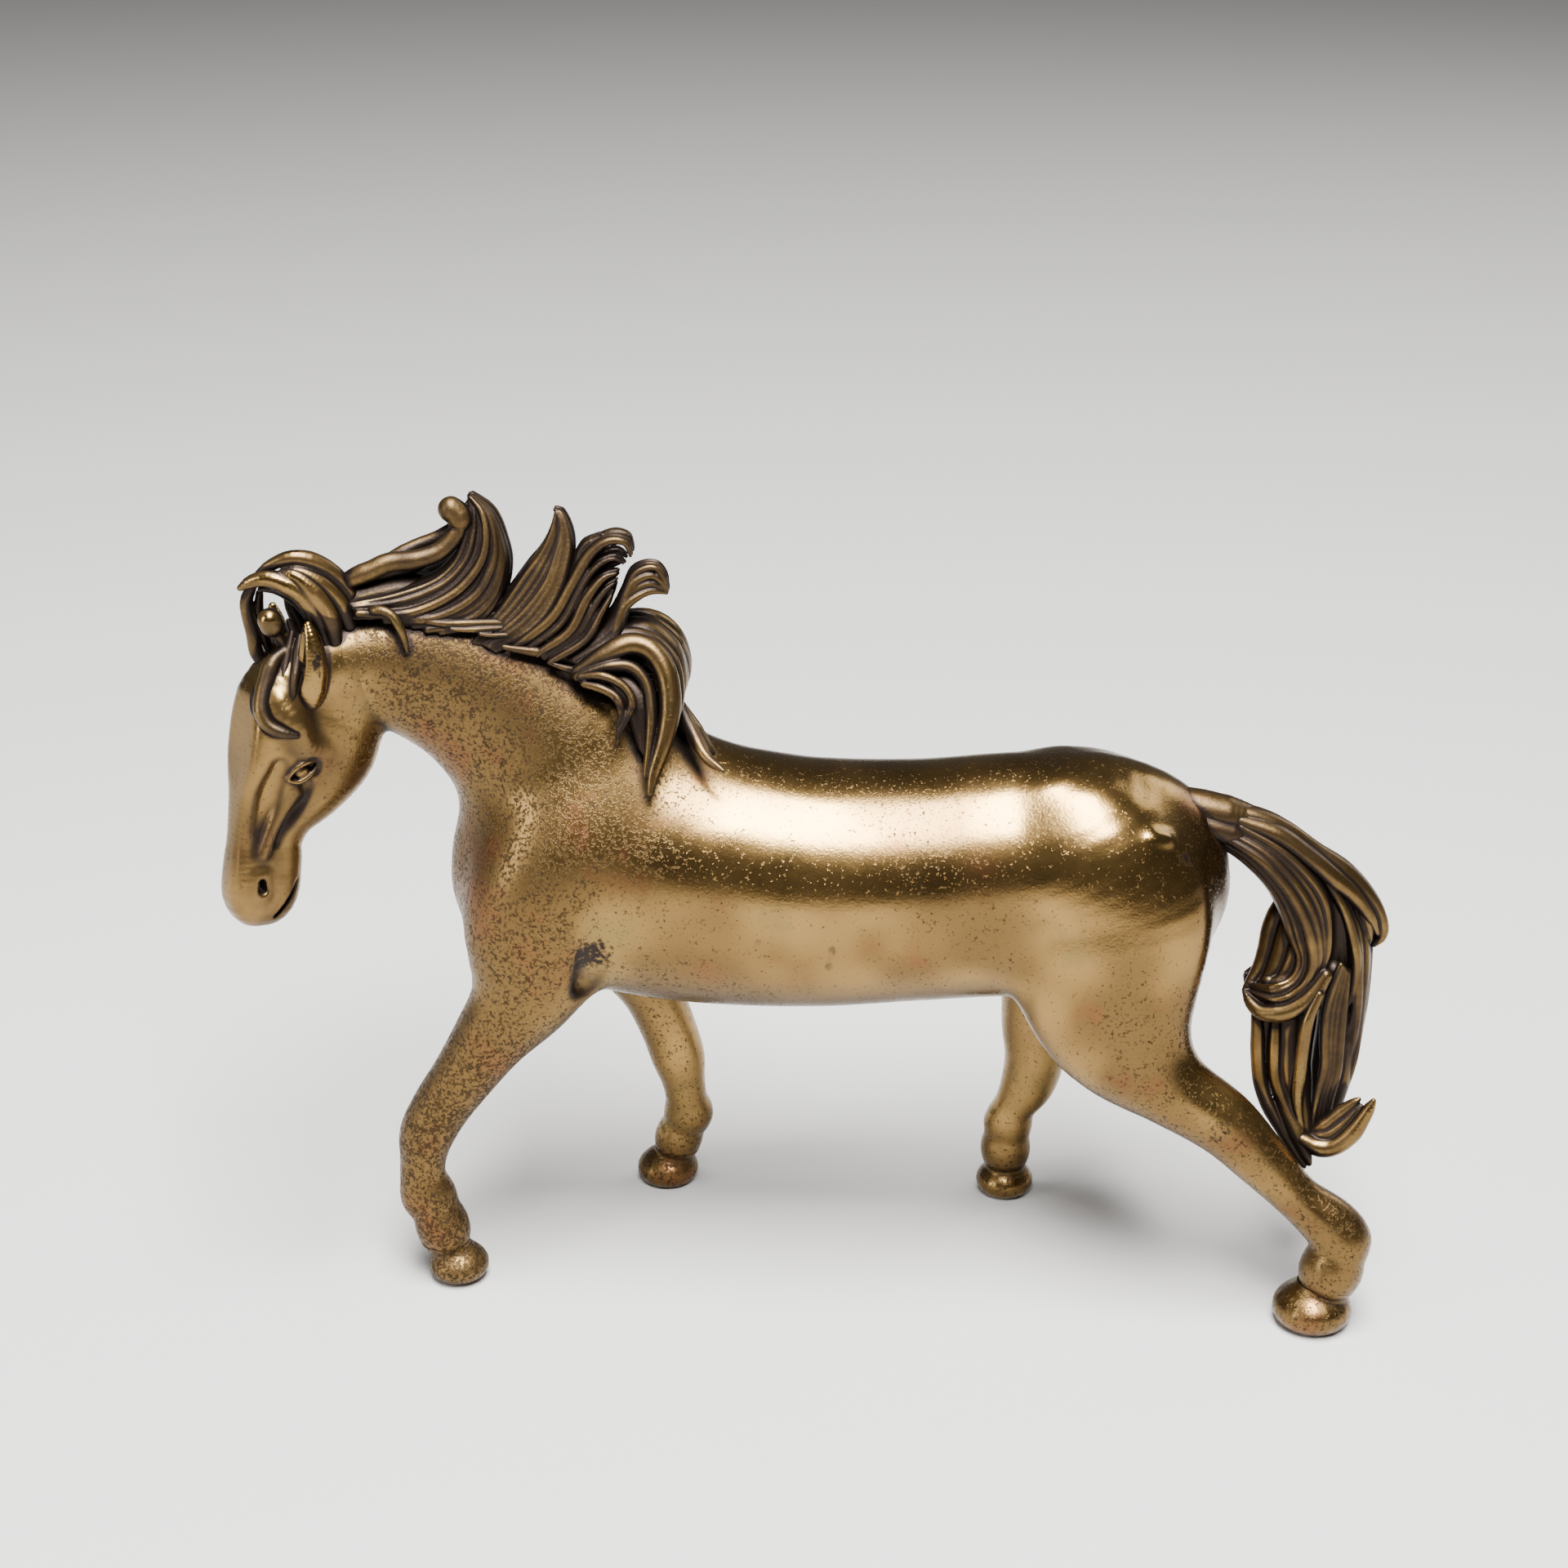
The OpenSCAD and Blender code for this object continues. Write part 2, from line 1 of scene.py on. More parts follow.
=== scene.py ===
import json
import math
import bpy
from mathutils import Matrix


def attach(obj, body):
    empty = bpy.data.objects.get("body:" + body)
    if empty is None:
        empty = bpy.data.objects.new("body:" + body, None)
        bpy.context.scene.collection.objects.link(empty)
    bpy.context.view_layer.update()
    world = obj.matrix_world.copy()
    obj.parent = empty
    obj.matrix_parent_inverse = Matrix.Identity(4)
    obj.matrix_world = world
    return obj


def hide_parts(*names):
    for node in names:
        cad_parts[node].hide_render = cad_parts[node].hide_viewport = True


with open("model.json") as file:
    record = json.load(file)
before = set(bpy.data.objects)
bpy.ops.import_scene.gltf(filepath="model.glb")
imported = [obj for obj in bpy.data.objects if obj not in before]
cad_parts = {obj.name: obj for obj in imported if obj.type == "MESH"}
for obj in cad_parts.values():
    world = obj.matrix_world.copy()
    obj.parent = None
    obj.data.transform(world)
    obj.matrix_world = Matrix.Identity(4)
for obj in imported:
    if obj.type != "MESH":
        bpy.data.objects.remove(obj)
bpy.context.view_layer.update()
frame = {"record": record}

from concurrent.futures import ThreadPoolExecutor

import bpy
import numpy as np
import openvdb as vdb
from mathutils import Vector

mm = 0.001
farAway = 2.5            # distances to the surface are kept up to this, in millimetres

# Lengths below are in millimetres, in the frame the horse was drawn in.
# drawnShift takes them to the shared frame.
firstSole = {m["name"]: m for m in frame["record"]["mounts"]}["left_fore_sole"]
drawnShift = np.array(firstSole["pos_m"]) / mm - np.array([-21.95, -5.0, 0.0])
print("frame loaded, shift", drawnShift.round(3))


# ---- clay: forms built up and carved as distances on a block of space, then skinned

def unit(v):
    return v / np.linalg.norm(v)


def softMin(a, b, blend):
    if blend <= 0:
        return np.minimum(a, b)
    near = np.maximum(blend - np.abs(a - b), 0) / blend
    return np.minimum(a, b) - near * near * blend * 0.25


def smoothed(stations, gap):
    # rows of a smooth curve through the stations, about gap apart
    s = np.array(stations, float)
    s = np.vstack([2 * s[0] - s[1], s, 2 * s[-1] - s[-2]])
    rows = []
    for a, b, c, d in zip(s[:-3], s[1:-2], s[2:-1], s[3:]):
        count = max(1, math.ceil(np.linalg.norm(c[:3] - b[:3]) / gap))
        for u in np.arange(count) / count:
            rows.append(0.5 * (2 * b + (c - a) * u + (2 * a - 5 * b + 4 * c - d) * u ** 2
                               + (3 * b - a - 3 * c + d) * u ** 3))
    rows.append(s[-2])
    return np.array(rows)


class Clay:
    def __init__(self, low, high, step, far=farAway):
        self.step = step
        self.far = far
        self.low = np.floor(np.array(low, float) / step) * step
        count = np.ceil((np.array(high, float) - self.low) / step).astype(int) + 1
        self.field = np.full(count, far, np.float32)

    def part(self, low, high):
        # the slices and coordinates of the stretch of the block between two corners
        first = np.clip(((np.array(low) - self.low) / self.step).astype(int), 0, None)
        last = np.clip(((np.array(high) - self.low) / self.step).astype(int) + 2, 0, self.field.shape)
        cut = tuple(slice(a, b) for a, b in zip(first, last))
        shape = [(-1, 1, 1), (1, -1, 1), (1, 1, -1)]
        at = [(self.low[i] + self.step * np.arange(first[i], last[i])).astype(np.float32).reshape(shape[i])
              for i in range(3)]
        return cut, at

    def tube(self, stations, side=(0, 1, 0), gap=0.5, square=2.0):
        # distances to a tapered form through [x, y, z, half width along side, half depth]
        rows = smoothed(stations, gap)
        rows[:, 3:] = np.maximum(rows[:, 3:], 0.02)
        out = np.full(self.field.shape, self.far, np.float32)
        last = len(rows) - 1
        side = np.array(side, float)
        for i in range(last):
            a, b = rows[i], rows[i + 1]
            along = unit(rows[min(i + 2, last)][:3] - rows[max(i - 1, 0)][:3])
            wide = unit(side - side @ along * along)
            deep = np.cross(along, wide)
            edge = max(a[3], a[4], b[3], b[4]) + self.far
            cut, at = self.part(np.minimum(a[:3], b[:3]) - edge, np.maximum(a[:3], b[:3]) + edge)
            if min(out[cut].shape) == 0:
                continue
            step = b[:3] - a[:3]
            x, y, z = at[0] - a[0], at[1] - a[1], at[2] - a[2]
            t = np.clip((x * step[0] + y * step[1] + z * step[2]) / (step @ step), 0, 1)
            w, d, l = [x * v[0] + y * v[1] + z * v[2] - t * (step @ v) for v in (wide, deep, along)]
            halfW = a[3] + t * (b[3] - a[3])
            halfD = a[4] + t * (b[4] - a[4])
            size = np.sqrt(w * w + d * d + l * l) + 1e-6
            if square == 2.0:
                share = np.sqrt((w / halfW) ** 2 + (d / halfD) ** 2 + (l / np.minimum(halfW, halfD)) ** 2)
            else:
                share = (np.abs(w / halfW) ** square + np.abs(d / halfD) ** square
                         + np.abs(l / np.minimum(halfW, halfD)) ** square) ** (1 / square)
            out[cut] = np.minimum(out[cut], size * (1 - 1 / (share + 1e-6)))
        return out

    def add(self, stations, blend=0.0, **how):
        self.field = softMin(self.field, self.tube(stations, **how), blend)

    def carve(self, stations, blend=0.0, **how):
        self.field = -softMin(-self.field, self.tube(stations, **how), blend)

    def shave(self, point, normal, blend=0.0, low=None, high=None):
        # takes off what lies beyond a plane
        low = self.low if low is None else low
        high = self.low + self.step * np.array(self.field.shape) if high is None else high
        cut, at = self.part(low, high)
        normal = unit(np.array(normal, float))
        over = sum((at[i] - point[i]) * normal[i] for i in range(3))
        self.field[cut] = -softMin(-self.field[cut], -over, blend)

    def settle(self, rounds=1):
        # evens out the small steps between neighbouring forms
        for _ in range(rounds):
            for axis in range(3):
                f = np.moveaxis(self.field, axis, 0)
                f[1:-1] = 0.25 * f[:-2] + 0.5 * f[1:-1] + 0.25 * f[2:]

    def sample(self, points):
        # distance to the surface at each point, far away outside the block
        g = (points - self.low) / self.step
        size = np.array(self.field.shape)
        inside = ((g >= 0) & (g < size - 1.001)).all(1)
        out = np.full(len(points), farAway, np.float32)
        g = g[inside]
        k = g.astype(int)
        t = g - k
        total = 0
        for c in range(8):
            o = np.array([c & 1, c >> 1 & 1, c >> 2 & 1])
            weight = np.prod(np.where(o, t, 1 - t), axis=1)
            total = total + weight * self.field[tuple((k + o).T)]
        out[inside] = np.where(total > 0.97 * self.far, farAway, total)
        return out

    def skin(self):
        band = 3 * self.step
        grid = vdb.FloatGrid(band)
        grid.copyFromArray(np.clip(self.field, -band, band))
        points, quads = grid.convertToQuads(0.0)
        return points * self.step + self.low, quads


clays = []               # every block, for the shade that one form casts in another's hollows


def meshPiece(name, points, faces):
    mesh = bpy.data.meshes.new(name)
    mesh.from_pydata(((points + drawnShift) * mm).tolist(), [], faces.tolist())
    mesh.update()
    piece = bpy.data.objects.new(name, mesh)
    bpy.context.scene.collection.objects.link(piece)
    return piece


def pointsOf(piece):
    flat = np.empty(len(piece.data.vertices) * 3, np.float32)
    piece.data.vertices.foreach_get("co", flat)
    return flat.reshape(-1, 3).astype(float) / mm - drawnShift


# ---- the horse's forms

bodyForms = {
    "torso": [
        [-19.5, 0, 26.0, 0.9, 1.3], [-18.7, 0, 26.0, 3.3, 4.2], [-16.6, 0, 26.3, 5.2, 6.5],
        [-13.0, 0, 26.8, 6.4, 7.7], [-7.0, 0, 26.5, 7.0, 8.3], [0.0, 0, 26.0, 7.1, 7.9],
        [7.0, 0, 26.3, 6.9, 7.6], [13.0, 0, 26.8, 6.6, 7.7], [17.5, 0, 26.8, 6.1, 7.9],
        [20.8, 0, 26.4, 5.0, 6.9], [22.6, 0, 26.0, 3.4, 4.6], [23.4, 0, 25.8, 0.9, 1.2]],
    "leftShoulder": [
        [-11.0, -2.6, 32.5, 1.4, 2.0], [-13.4, -3.5, 30.0, 2.6, 4.0], [-15.4, -3.9, 26.5, 3.1, 4.6],
        [-16.6, -4.0, 23.0, 3.0, 4.2], [-17.0, -4.0, 20.8, 2.3, 3.0]],
    "rightShoulder": [
        [-11.0, 2.6, 32.5, 1.4, 2.0], [-13.2, 3.5, 30.0, 2.6, 4.0], [-14.6, 3.9, 26.5, 3.1, 4.6],
        [-14.4, 4.0, 23.0, 3.0, 4.2], [-13.8, 3.9, 20.8, 2.2, 2.9]],
    "leftHaunch": [
        [15.0, -2.4, 32.2, 1.4, 2.2], [16.8, -3.3, 29.5, 3.1, 4.9], [18.6, -3.9, 25.5, 3.6, 6.0],
        [18.8, -4.3, 21.5, 3.4, 5.2], [19.4, -4.6, 19.0, 2.8, 4.1]],
    "rightHaunch": [
        [15.0, 2.4, 32.2, 1.4, 2.2], [16.8, 3.4, 29.5, 3.1, 4.9], [18.4, 4.0, 25.5, 3.5, 6.0],
        [17.6, 4.4, 21.5, 3.2, 4.8], [16.6, 4.6, 19.4, 2.6, 3.4]],
    "neck": [
        [-11.0, 0, 28.0, 5.4, 8.6], [-14.4, 0, 33.1, 4.6, 7.2], [-17.0, -0.1, 36.1, 3.9, 6.0],
        [-19.7, -0.4, 38.3, 3.4, 5.2], [-22.5, -1.0, 39.7, 3.0, 4.5], [-25.2, -1.9, 40.6, 2.7, 3.7],
        [-27.8, -2.9, 40.9, 2.3, 2.8]],
    "leftForeleg": [
        [-15.8, -3.9, 22.5, 2.6, 3.6], [-17.1, -4.2, 20.0, 2.5, 3.1], [-19.2, -4.4, 17.2, 2.2, 2.4],
        [-21.1, -4.6, 14.4, 1.9, 2.0], [-22.6, -4.7, 12.2, 1.75, 1.85], [-23.6, -4.8, 10.3, 1.75, 1.75],
        [-23.9, -4.9, 8.8, 1.5, 1.5], [-24.0, -5.0, 7.2, 1.4, 1.45], [-23.7, -5.0, 5.9, 1.6, 1.8],
        [-23.2, -5.0, 4.9, 1.35, 1.5], [-23.0, -5.0, 4.1, 1.65, 1.7], [-22.8, -5.0, 3.4, 1.65, 1.7],
        [-22.6, -5.0, 2.6, 1.3, 1.3]],
    "rightForeleg": [
        [-13.4, 3.9, 22.5, 2.6, 3.3], [-11.9, 4.6, 19.0, 2.4, 2.6], [-10.4, 5.6, 15.6, 2.0, 2.0],
        [-9.4, 6.3, 12.6, 1.75, 1.85], [-8.8, 6.8, 10.2, 1.75, 1.8], [-8.5, 7.1, 8.4, 1.45, 1.5],
        [-8.3, 7.4, 6.6, 1.35, 1.4], [-8.2, 7.7, 5.4, 1.55, 1.7], [-8.5, 7.9, 4.4, 1.3, 1.4],
        [-8.8, 8.0, 3.7, 1.55, 1.6], [-9.0, 8.0, 3.1, 1.55, 1.6], [-9.2, 8.0, 2.4, 1.2, 1.2]],
    "leftHindLeg": [
        [18.0, -3.8, 23.5, 3.2, 5.0], [18.7, -4.4, 20.5, 3.3, 4.8], [19.9, -4.9, 17.8, 3.0, 3.8],
        [22.6, -5.5, 15.3, 2.4, 2.5], [25.9, -6.1, 13.2, 1.9, 2.1], [28.3, -6.5, 10.9, 1.65, 1.75],
        [30.6, -6.9, 8.6, 1.45, 1.45], [32.6, -7.2, 7.0, 1.6, 1.75], [33.5, -7.4, 5.9, 1.7, 1.85],
        [33.3, -7.5, 5.0, 1.65, 1.7], [33.1, -7.5, 4.2, 1.88, 1.92], [32.9, -7.5, 3.6, 1.88, 1.92],
        [32.6, -7.5, 2.8, 1.35, 1.35]],
    "rightHindLeg": [
        [16.8, 3.8, 23.5, 3.1, 4.6], [16.0, 4.6, 20.0, 3.0, 3.6], [15.2, 5.4, 16.6, 2.4, 2.7],
        [14.8, 6.0, 13.6, 2.0, 2.2], [14.9, 6.5, 11.0, 1.8, 2.0], [14.5, 6.9, 8.6, 1.55, 1.8],
        [13.7, 7.2, 6.8, 1.35, 1.4], [13.3, 7.4, 5.4, 1.5, 1.65], [13.3, 7.5, 4.4, 1.3, 1.45],
        [13.2, 7.6, 3.7, 1.6, 1.65], [13.2, 7.6, 3.1, 1.6, 1.65], [13.2, 7.6, 2.4, 1.2, 1.2]],
}

bodyBlends = {"leftShoulder": 1.8, "rightShoulder": 1.8, "leftHaunch": 1.6, "rightHaunch": 1.6, "neck": 2.0,
              "leftForeleg": 1.2, "rightForeleg": 1.2, "leftHindLeg": 1.6, "rightHindLeg": 1.6}

# the head is drawn upright in its own frame: -X is the way it looks, Z = 0 is the poll
headLook = {
    "poll": (-29.5, -3.4, 41.0),
    "turn": 40,          # degrees to the horse's left
    "tilt": 13,          # degrees that the nose is forward of straight down
    "skull": [
        [0.6, 0, 1.0, 1.4, 1.6], [0.1, 0, -0.6, 2.2, 2.6], [-0.35, 0, -2.8, 2.5, 3.8],
        [-0.15, 0, -4.8, 2.55, 4.3], [-0.4, 0, -6.8, 2.25, 3.8], [-1.0, 0, -8.8, 1.75, 2.8],
        [-1.25, 0, -10.8, 1.45, 2.35], [-1.15, 0, -12.6, 1.6, 2.4], [-1.05, 0, -14.0, 1.7, 2.3],
        [-0.95, 0, -15.1, 1.25, 1.7], [-0.9, 0, -15.6, 0.6, 0.8]],
    "jowl": [
        [1.5, -0.9, -1.0, 1.2, 1.6], [1.9, -1.25, -3.0, 1.5, 2.7], [1.75, -1.3, -5.2, 1.45, 2.85],
        [0.9, -1.1, -7.3, 1.1, 2.1], [0.0, -0.8, -8.8, 0.7, 1.2]],
    "brow": [
        [-2.4, -1.6, -2.0, 0.8, 0.7], [-1.7, -2.0, -3.0, 1.1, 0.95], [-0.9, -2.25, -4.2, 0.85, 0.75],
        [0.3, -2.2, -4.7, 0.5, 0.5]],
    "cheekRidge": [
        [-0.7, -1.95, -7.4, 0.35, 0.4], [-1.6, -1.55, -9.4, 0.38, 0.35], [-2.0, -1.4, -11.4, 0.3, 0.3]],
    "noseGroove": [
        [-2.3, -2.5, -5.8, 0.5, 0.45], [-2.5, -2.05, -7.6, 0.65, 0.6], [-2.45, -1.75, -9.6, 0.6, 0.55],
        [-2.4, -1.75, -11.2, 0.35, 0.35]],
    "cheekGroove": [
        [-0.4, -2.6, -7.0, 0.4, 0.4], [-0.8, -2.1, -8.6, 0.6, 0.5], [-1.3, -1.8, -10.6, 0.4, 0.35]],
    "socket": [[-1.15, -2.75, -6.2, 0.62, 0.6], [-0.35, -2.8, -5.7, 0.62, 0.6]],
    "eyeball": [[-0.85, -2.2, -6.02, 0.42, 0.42], [-0.65, -2.2, -5.9, 0.42, 0.42]],
    "upperLid": [
        [-1.6, -2.3, -6.45, 0.12, 0.12], [-1.25, -2.55, -5.7, 0.17, 0.17], [-0.6, -2.65, -5.3, 0.18, 0.18],
        [0.2, -2.5, -5.25, 0.13, 0.13]],
    "lowerLid": [
        [-1.55, -2.35, -6.55, 0.11, 0.11], [-0.9, -2.5, -6.6, 0.15, 0.15], [-0.25, -2.55, -6.15, 0.15, 0.15],
        [0.2, -2.5, -5.45, 0.11, 0.11]],
    "nostril": [[-1.92, -2.0, -13.15, 0.85, 0.2], [-1.82, -2.0, -13.6, 0.85, 0.27]],
    "nostrilRim": [[-1.9, -1.2, -12.8, 0.45, 0.5], [-1.8, -1.25, -14.0, 0.5, 0.55]],
    "mouth": [[0.6, -1.7, -13.1, 0.4, 0.1], [0.2, -1.5, -14.2, 0.45, 0.12], [-0.5, -1.1, -15.4, 0.4, 0.1]],
}


def turned(axisAngle, axis):
    c, s = math.cos(math.radians(axisAngle)), math.sin(math.radians(axisAngle))
    if axis == "z":
        return np.array([[c, -s, 0], [s, c, 0], [0, 0, 1]])
    return np.array([[c, 0, s], [0, 1, 0], [-s, 0, c]])


headTurn = turned(headLook["turn"], "z") @ turned(headLook["tilt"], "y")
acrossHead = headTurn @ np.array([0, 1, 0])


def onHead(stations, mirror=False):
    s = np.array(stations, float)
    if mirror:
        s[:, 1] *= -1
    s[:, :3] = s[:, :3] @ headTurn.T + headLook["poll"]
    return s


def addHead(clay, fine):
    both = (False, True)
    how = {"side": acrossHead, "gap": 0.4}
    clay.add(onHead(headLook["skull"]), 1.4, square=2.6, **how)
    for m in both:
        clay.add(onHead(headLook["jowl"], m), 1.0, **how)
    if not fine:
        return
    front = headTurn @ np.array([-1.0, 0, -0.03])
    corner = onHead([[-3.75, 0, -4.0, 1, 1]])[0][:3]
    clay.shave(corner, front, 0.35)
    for m in both:
        clay.add(onHead(headLook["brow"], m), 0.7, **how)
        clay.carve(onHead(headLook["noseGroove"], m), 0.5, **how)
        clay.carve(onHead(headLook["cheekGroove"], m), 0.4, **how)
        clay.add(onHead(headLook["cheekRidge"], m), 0.5, **how)
        clay.add(onHead(headLook["nostrilRim"], m), 0.5, **how)
        clay.carve(onHead(headLook["nostril"], m), 0.2, **how)
        clay.carve(onHead(headLook["mouth"], m), 0.1, **how)
        clay.carve(onHead(headLook["socket"], m), 0.25, **how)
        clay.add(onHead(headLook["eyeball"], m), 0.03, **how)
        clay.add(onHead(headLook["upperLid"], m), 0.12, **how)
        clay.add(onHead(headLook["lowerLid"], m), 0.12, **how)


creases = {
    "rumpCleft": ([[23.6, -0.2, 31.2, 0.3, 0.3], [25.1, -0.2, 28.8, 0.45, 0.6], [25.4, -0.2, 25.0, 0.5, 0.7],
                   [24.9, -0.1, 21.0, 0.6, 0.8], [23.4, 0.0, 17.5, 1.2, 1.0]], 0.7),
    "elbow": ([[-11.6, -7.2, 26.4, 0.25, 0.35], [-12.0, -7.0, 25.0, 0.4, 0.55],
               [-12.4, -6.7, 23.6, 0.5, 0.75], [-12.8, -6.1, 22.2, 0.55, 0.8],
               [-13.3, -5.4, 21.0, 0.6, 0.8]], 0.9),
    "flank": ([[12.6, -6.6, 20.0, 0.5, 0.4], [13.2, -7.2, 23.0, 0.4, 0.3],
               [14.6, -7.2, 26.0, 0.3, 0.2]], 1.6),
    "farFlank": ([[12.6, 6.6, 20.0, 0.5, 0.4], [13.2, 7.2, 23.0, 0.4, 0.3]], 1.6),
    "chest": ([[-21.8, 0, 27.0, 0.3, 0.3], [-21.0, 0, 23.0, 0.5, 0.5], [-17.5, 0, 18.6, 0.8, 0.8]], 1.2),
}
nicks = [[[1.9, -7.05, 24.6, 0.3, 0.3], [1.8, -6.95, 24.0, 0.22, 0.25], [1.7, -6.7, 23.1, 0.3, 0.25]],
         [[-2.5, -7.15, 25.1, 0.25, 0.2], [-2.9, -7.1, 24.5, 0.22, 0.2]]]


def buildBody(clay, gap=0.8):
    clay.add(bodyForms["torso"], 0, gap=gap)
    for name, blend in bodyBlends.items():
        clay.add(bodyForms[name], blend, gap=gap if "Leg" not in name and "leg" not in name else 0.5)


bodyClay = Clay((-37, -11, -1.5), (27 + 9, 11.5, 47), 0.2)
buildBody(bodyClay)
addHead(bodyClay, False)
bodyClay.add([[20.8, -5.0, 31.5, 0.4, 0.4], [21.6, -4.7, 31.3, 0.4, 0.4]], 0.6)
for path, blend in creases.values():
    bodyClay.carve(path, blend, gap=0.6)
bodyClay.settle(2)
for path in nicks:
    bodyClay.carve(path, 0.05, gap=0.3)
print("body formed", bodyClay.field.shape)

headClay = Clay((-36.8, -10.5, 23.5), (-24.5, 2.6, 44.5), 0.075, 1.2)
headClay.add(bodyForms["neck"], 0, gap=0.8)
addHead(headClay, True)
headClay.settle(1)
print("head formed", headClay.field.shape)

# ---- hooves

hoofLook = {
    "left_fore_hoof": {"sole": (-21.95, -5.0), "r": 1.95, "top": (-22.75, -5.0), "h": 3.0,
                       "leg": "leftForeleg"},
    "right_fore_hoof": {"sole": (-9.7, 8.1), "r": 2.1, "top": (-9.0, 8.0), "h": 2.8, "leg": "rightForeleg"},
    "left_hind_hoof": {"sole": (32.0, -7.5), "r": 2.5, "top": (32.9, -7.5), "h": 3.3, "leg": "leftHindLeg"},
    "right_hind_hoof": {"sole": (13.2, 7.7), "r": 1.95, "top": (13.2, 7.6), "h": 2.7, "leg": "rightHindLeg"},
}


def ringPath(centre, radius, height, thick, count=20):
    turn = np.linspace(0, 2 * math.pi, count + 1)
    return [[centre[0] + radius * math.cos(a), centre[1] + radius * math.sin(a), height, thick, thick]
            for a in turn]


def buildHoof(look):
    sole, top, r, h = look["sole"], look["top"], look["r"], look["h"]
    clay = Clay((sole[0] - r - 2.5, sole[1] - r - 1.5, -1),
                (sole[0] + r + 2.5, sole[1] + r + 1.5, h + 2.5), 0.08)
    clay.add(bodyForms[look["leg"]], 0, gap=0.4)
    mid = [(sole[i] + top[i]) / 2 for i in range(2)]
    clay.add([[sole[0], sole[1], 0.2, r * 0.55, r * 0.55], [sole[0], sole[1], h * 0.45, r * 0.7, r * 0.7],
              [mid[0], mid[1], h * 0.62, r * 0.55, r * 0.55]], 0.2, gap=0.3)
    clay.add(ringPath(sole, r * 0.52, h * 0.34, r * 0.46), 0.5, gap=0.6)
    clay.shave((0, 0, 0), (0, 0, -1), 0.15)
    return clay


hoofClays = {name: buildHoof(look) for name, look in hoofLook.items()}
print("hooves formed")

# ---- ears

earLook = {
    "shell": [[-0.7, -1.6, -2.2, 0.8, 0.8], [-0.8, -2.0, -0.8, 1.05, 1.0], [-1.0, -2.2, 0.7, 1.0, 0.85],
              [-1.35, -2.25, 2.0, 0.7, 0.6], [-1.65, -2.2, 2.9, 0.25, 0.25]],
    "hollow": [[-1.9, -2.0, -1.2, 0.3, 0.3], [-2.0, -2.15, -0.2, 0.5, 0.55], [-2.1, -2.3, 0.9, 0.45, 0.5],
               [-2.1, -2.3, 2.2, 0.2, 0.3]],
}


def buildEar(mirror):
    shell = onHead(earLook["shell"], mirror)
    clay = Clay(shell[:, :3].min(0) - 3.2, shell[:, :3].max(0) + 3.2, 0.07)
    clay.add(shell, 0, side=acrossHead, gap=0.25)
    clay.carve(onHead(earLook["hollow"], mirror), 0.15, side=acrossHead, gap=0.25)
    return clay


# ---- hair: every lock is a fan of strands between guide lines, doubled on the far side

crestLine = np.array([(-6.0, 0.0), (-15.0, 0.0), (-17.3, -0.1), (-19.8, -0.4), (-22.5, -1.0), (-25.2, -1.9),
                      (-27.8, -2.9)])[::-1]

